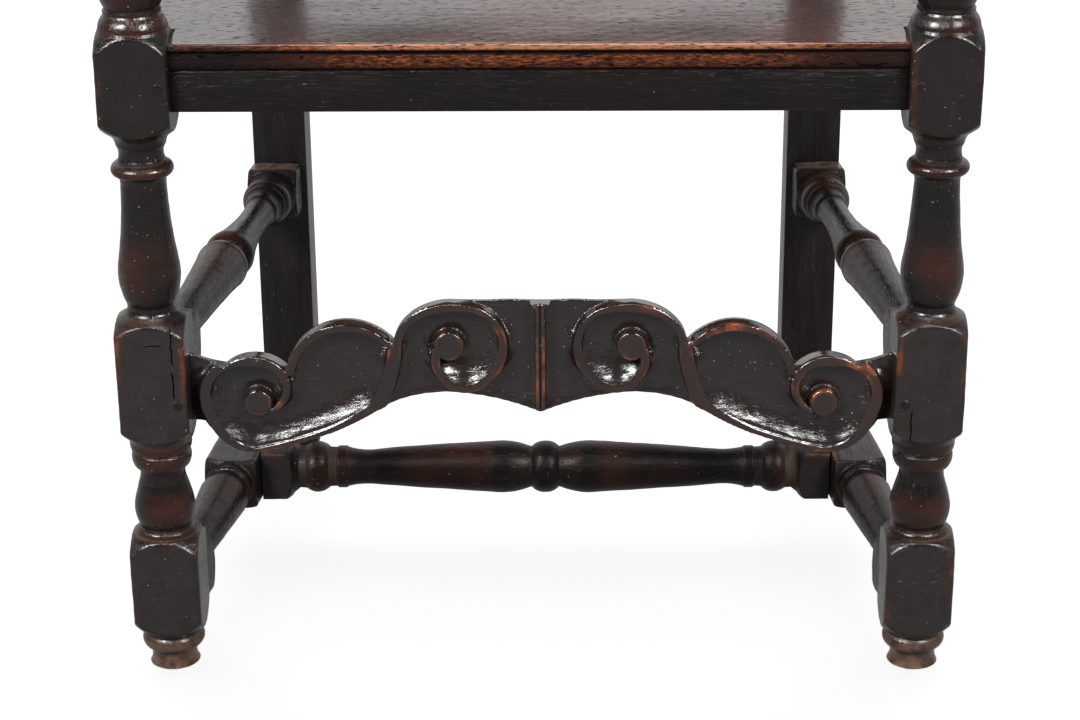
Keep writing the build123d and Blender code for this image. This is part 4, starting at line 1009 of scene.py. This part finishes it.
def polished_seat(name, shine, dark, warm):
    """Bright wax polish over dark oak, with open pores and a rubbed front edge."""
    w = Wood(name, "X")
    streaks = w.noise(w.stretched(*SEAT_STREAKS), detail=5.0, rough=0.62)
    dashes = w.noise(w.stretched(*SEAT_DASHES), detail=2.0, rough=0.5)
    cloud = w.noise(w.place, SEAT_CLOUDS, 3.0, 0.55)
    mottle = w.noise(w.stretched(*SEAT_MOTTLES), detail=6.0, rough=0.78)
    pores = w.times(w.span(dashes, 0.59, 0.64), w.span(streaks, 0.32, 0.5))
    colour = w.mix(w.span(cloud, 0.35, 0.65, 0.1, 0.8), dark, warm)
    colour = w.mix(w.span(streaks, 0.45, 0.7, 0.0, 0.6), colour, dark)
    edge = w.attribute("wear")
    worn = w.times(w.span(edge, 0.5, 2.4), w.span(mottle, 0.38, 0.62, 0.1, 1.0))
    colour = w.mix(worn, colour, RUSSET)
    bright = w.times(w.span(edge, 1.3, 3.0), w.span(mottle, 0.46, 0.62))
    colour = w.mix(bright, colour, SEAT_RUBBED)
    palest = w.times(w.span(edge, 2.6, 3.8), w.span(mottle, 0.38, 0.56, 0.3, 0.9))
    colour = w.mix(palest, colour, SEAT_PALE)
    colour = w.mix(w.times(pores, 0.85), colour, SEAT_PORE)
    rough = w.plus(w.span(streaks, 0.35, 0.7, 0.13, 0.2), w.times(pores, 0.35))
    rough = w.plus(rough, w.times(worn, 0.18))
    dents = w.noise(w.place, SEAT_DENTS, 2.0, 0.5)
    height = w.plus(w.times(pores, -1.0), w.times(dents, 0.3))
    return w.finished(colour, rough, shine, height, (0.5, 0.6 * mm), w.mix(pores, WHITE, OPEN))


side_ledge_y = leg_front_y - 16 * mm  # dust lies on the side stretchers' rear blocks
oak_z = oak("oak_posts", "Z", wear=0.38, patches=0.15, posts=True)
oak_y = oak("oak_side_members", "Y", gloss=0.23, wear=0.4, shine=0.17, patches=0.15,
            ledge_y=side_ledge_y)
oak_x = oak("oak_cross_members", "X", gloss=0.32, shine=0.16, patches=0.2, wear=0.5, dusty=1.8)
rail_x = oak("oak_rails_across", "X", edges=True, patches=0.1, shine=0.2, gloss=0.24)
rail_y = oak("oak_rails_back", "Y", edges=True, patches=0.2)
board_z = oak("oak_uprights", "Z", edges=True, gloss=0.28, patches=0.4, dark=GREYED)
carved_x = oak("oak_carving", "X", patches=0.35, shine=0.65, wear=0.7, gloss=0.17, pored=0.35,
               dark=BROWNED)
# painted light: the seat top is a copy of the edge's oak painted lighter and warmer
seat_oak_painted_lit = polished_seat("oak_seat", 0.9, SEAT_LIT_DARK, SEAT_LIT_WARM)
edge_oak = polished_seat("oak_seat_edge", 0.14, BLACK, UMBER)
peg_oak = oak("oak_pegs", "Y", edges=True)


# ---- pieces of the chair
SAME_POINT = 0.02 * mm  # points of a node nearer than this are one
SHARP_NODE = 40  # degrees, as SHARP_GRID
ARRIS = 0.5  # radians: a sharper edge of a node is softened
pegs = [node for node in sorted(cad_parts) if node.endswith(("pegs", "pins"))]
# Plain pieces: nodes, material, and width in mm and segments of their softened arrises.
RAILS = [
    (("seat_rail_front", "seat_rail_back", "back_bottom_rail", "back_top_rail"), rail_x, 0.8, 2),
    (("seat_rail_left", "seat_rail_right"), rail_y, 0.8, 2),
]
BOARDS = [
    (("rear_post_left", "rear_post_right"), board_z, 0.9, 2),
    (("arm_left", "arm_right"), rail_y, 3.5, 3),
    (("back_panel",), board_z, 0.5, 2),
]
PEGS = [(pegs, peg_oak, 0.3, 2)]


def softened(node, material, width, segments):
    name = "finished_" + node
    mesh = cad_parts[node].data.copy()
    mesh.name = name
    work = bmesh.new()
    work.from_mesh(mesh)
    bmesh.ops.remove_doubles(work, verts=work.verts, dist=SAME_POINT)
    level = math.radians(1.0)
    bmesh.ops.dissolve_limit(work, angle_limit=level, verts=work.verts, edges=work.edges)
    sharp = [e for e in work.edges if len(e.link_faces) == 2 and e.calc_face_angle(0) > ARRIS]
    bmesh.ops.bevel(
        work, geom=sharp, offset=width, segments=segments, affect="EDGES",
        profile=0.6, clamp_overlap=True,
    )
    work.to_mesh(mesh)
    work.free()
    shaded(mesh, SHARP_NODE)
    stands_for(shown(name, mesh), node, material)


def plain_pieces(rows):
    for nodes, material, width, segments in rows:
        for node in nodes:
            softened(node, material, width * mm, segments)


for side in (-1, 1):
    front_post(side, oak_z)
    side_stretcher("upper_side_stretcher_", side, UPPER_Z, upper_turning, oak_y)
    side_stretcher("lower_side_stretcher_", side, LOWER_Z, lower_turning, oak_y)
cross_stretcher(oak_x)
plain_pieces(RAILS)
seat_board("seat_board_front", seat_oak_painted_lit, edge_oak, 3)
seat_board("seat_board_back", seat_oak_painted_lit, seat_oak_painted_lit, 4)
plain_pieces(BOARDS)
front_stretcher(carved_x)
crest_rail(carved_x)
plain_pieces(PEGS)


# ---- floor, light and camera
WHITE_WALL = 1.05  # the room behind the chair, as light and in reflections
DIM_ROOM = 0.16  # and in front of it; to the camera it is at least 1
FLOOR_REACH = 12.0
FLOOR_GREY, FLOOR_ROUGH = 0.9, 0.9
FLOOR_GLOW = (0.2, 0.8)  # as light, and to the camera
AIM = (0, -0.1, 0.3)  # where the softboxes point
# Softboxes: name, place, width, height and watts.
SOFTBOXES = [
    ("left_softbox", (-1.6, -1.8, 1.95), 0.85, 0.85, 162),
    ("right_softbox", (1.6, -1.8, 1.95), 0.85, 0.85, 128),
    ("top_softbox", (0, -0.6, 2.8), 0.9, 0.6, 30),
]
CAMERA_BACK = 1.6904  # camera in front of the front posts' faces
CAMERA_SIDE = 0.0265
CAMERA_HEIGHT = 0.9491
TILT = 0.3917  # radians below the horizon
TURN = 0.0157  # radians to the left
ROLL = -0.0074
LENS = 86.84
SENSOR = 36.0


def stage():
    """A pale floor that shows white to the camera and glows less as light."""
    mesh = bpy.data.meshes.new("floor")
    far = FLOOR_REACH
    mesh.from_pydata([(-far, -far, 0), (far, -far, 0), (far, far, 0), (-far, far, 0)], [],
                     [(0, 1, 2, 3)])
    floor = shown("floor", mesh)
    material, tree, surface = shader("pale_floor")
    nodes = Nodes(tree)
    inputs = {
        "Base Color": (FLOOR_GREY, FLOOR_GREY, FLOOR_GREY, 1), "Emission Color": (1, 1, 1, 1),
        "Roughness": FLOOR_ROUGH,
        "Emission Strength": nodes.span(nodes.camera_ray(), 0.0, 1.0, *FLOOR_GLOW),
    }
    for key, value in inputs.items():
        nodes.plug(surface.inputs[key], value)
    mesh.materials.append(material)
    return floor


def softbox(name, place, width, height, power, unlit):
    """A rectangular lamp that points at AIM and lights all but the unlit collection."""
    data = bpy.data.lights.new(name, "AREA")
    data.shape = "RECTANGLE"
    data.size, data.size_y = width, height
    data.energy = power
    lamp = shown(name, data)
    lamp.location = place
    way = Vector(AIM) - Vector(place)
    lamp.rotation_euler = way.to_track_quat("-Z", "Y").to_euler()
    lamp.light_linking.receiver_collection = unlit


def studio():
    """White all round to the eye; as light, bright behind the chair and dim in front of it."""
    world = bpy.data.worlds.new("studio")
    world.use_nodes = True
    nodes = Nodes(world.node_tree)
    way = nodes.node("ShaderNodeTexCoord").outputs["Generated"]
    back = nodes.node("ShaderNodeSeparateXYZ", Vector=way).outputs["Y"]
    shade = nodes.span(back, 0.15, 0.75, DIM_ROOM, WHITE_WALL)
    background = world.node_tree.nodes["Background"].inputs
    nodes.plug(background["Strength"], nodes.maths("MAXIMUM", nodes.camera_ray(), shade))
    nodes.plug(background["Color"], (1, 1, 1, 1))
    return world


def lights(floor):
    bpy.context.scene.world = studio()
    unlit = bpy.data.collections.new("lit_by_the_surroundings_only")
    unlit.objects.link(floor)
    unlit.collection_objects[0].light_linking.link_state = "EXCLUDE"
    for box in SOFTBOXES:
        softbox(*box, unlit)


def camera():
    data = bpy.data.cameras.new("camera")
    data.sensor_width = SENSOR
    data.lens = LENS
    data.clip_start, data.clip_end = 0.05, 100
    right = Vector((math.cos(TURN), math.sin(TURN), 0))
    ahead = Vector((
        -math.sin(TURN) * math.cos(TILT), math.cos(TURN) * math.cos(TILT), -math.sin(TILT)
    ))
    up = right.cross(ahead)
    rolled_right = right * math.cos(ROLL) + up * math.sin(ROLL)
    rolled_up = up * math.cos(ROLL) - right * math.sin(ROLL)
    place = Vector((CAMERA_SIDE, front_y - CAMERA_BACK, CAMERA_HEIGHT))
    turn = Matrix((rolled_right, rolled_up, -ahead)).transposed()
    eye = shown("camera", data)
    eye.matrix_world = Matrix.Translation(place) @ turn.to_4x4()
    bpy.context.scene.camera = eye


lights(stage())
camera()
bpy.context.scene.view_settings.view_transform = "Standard"
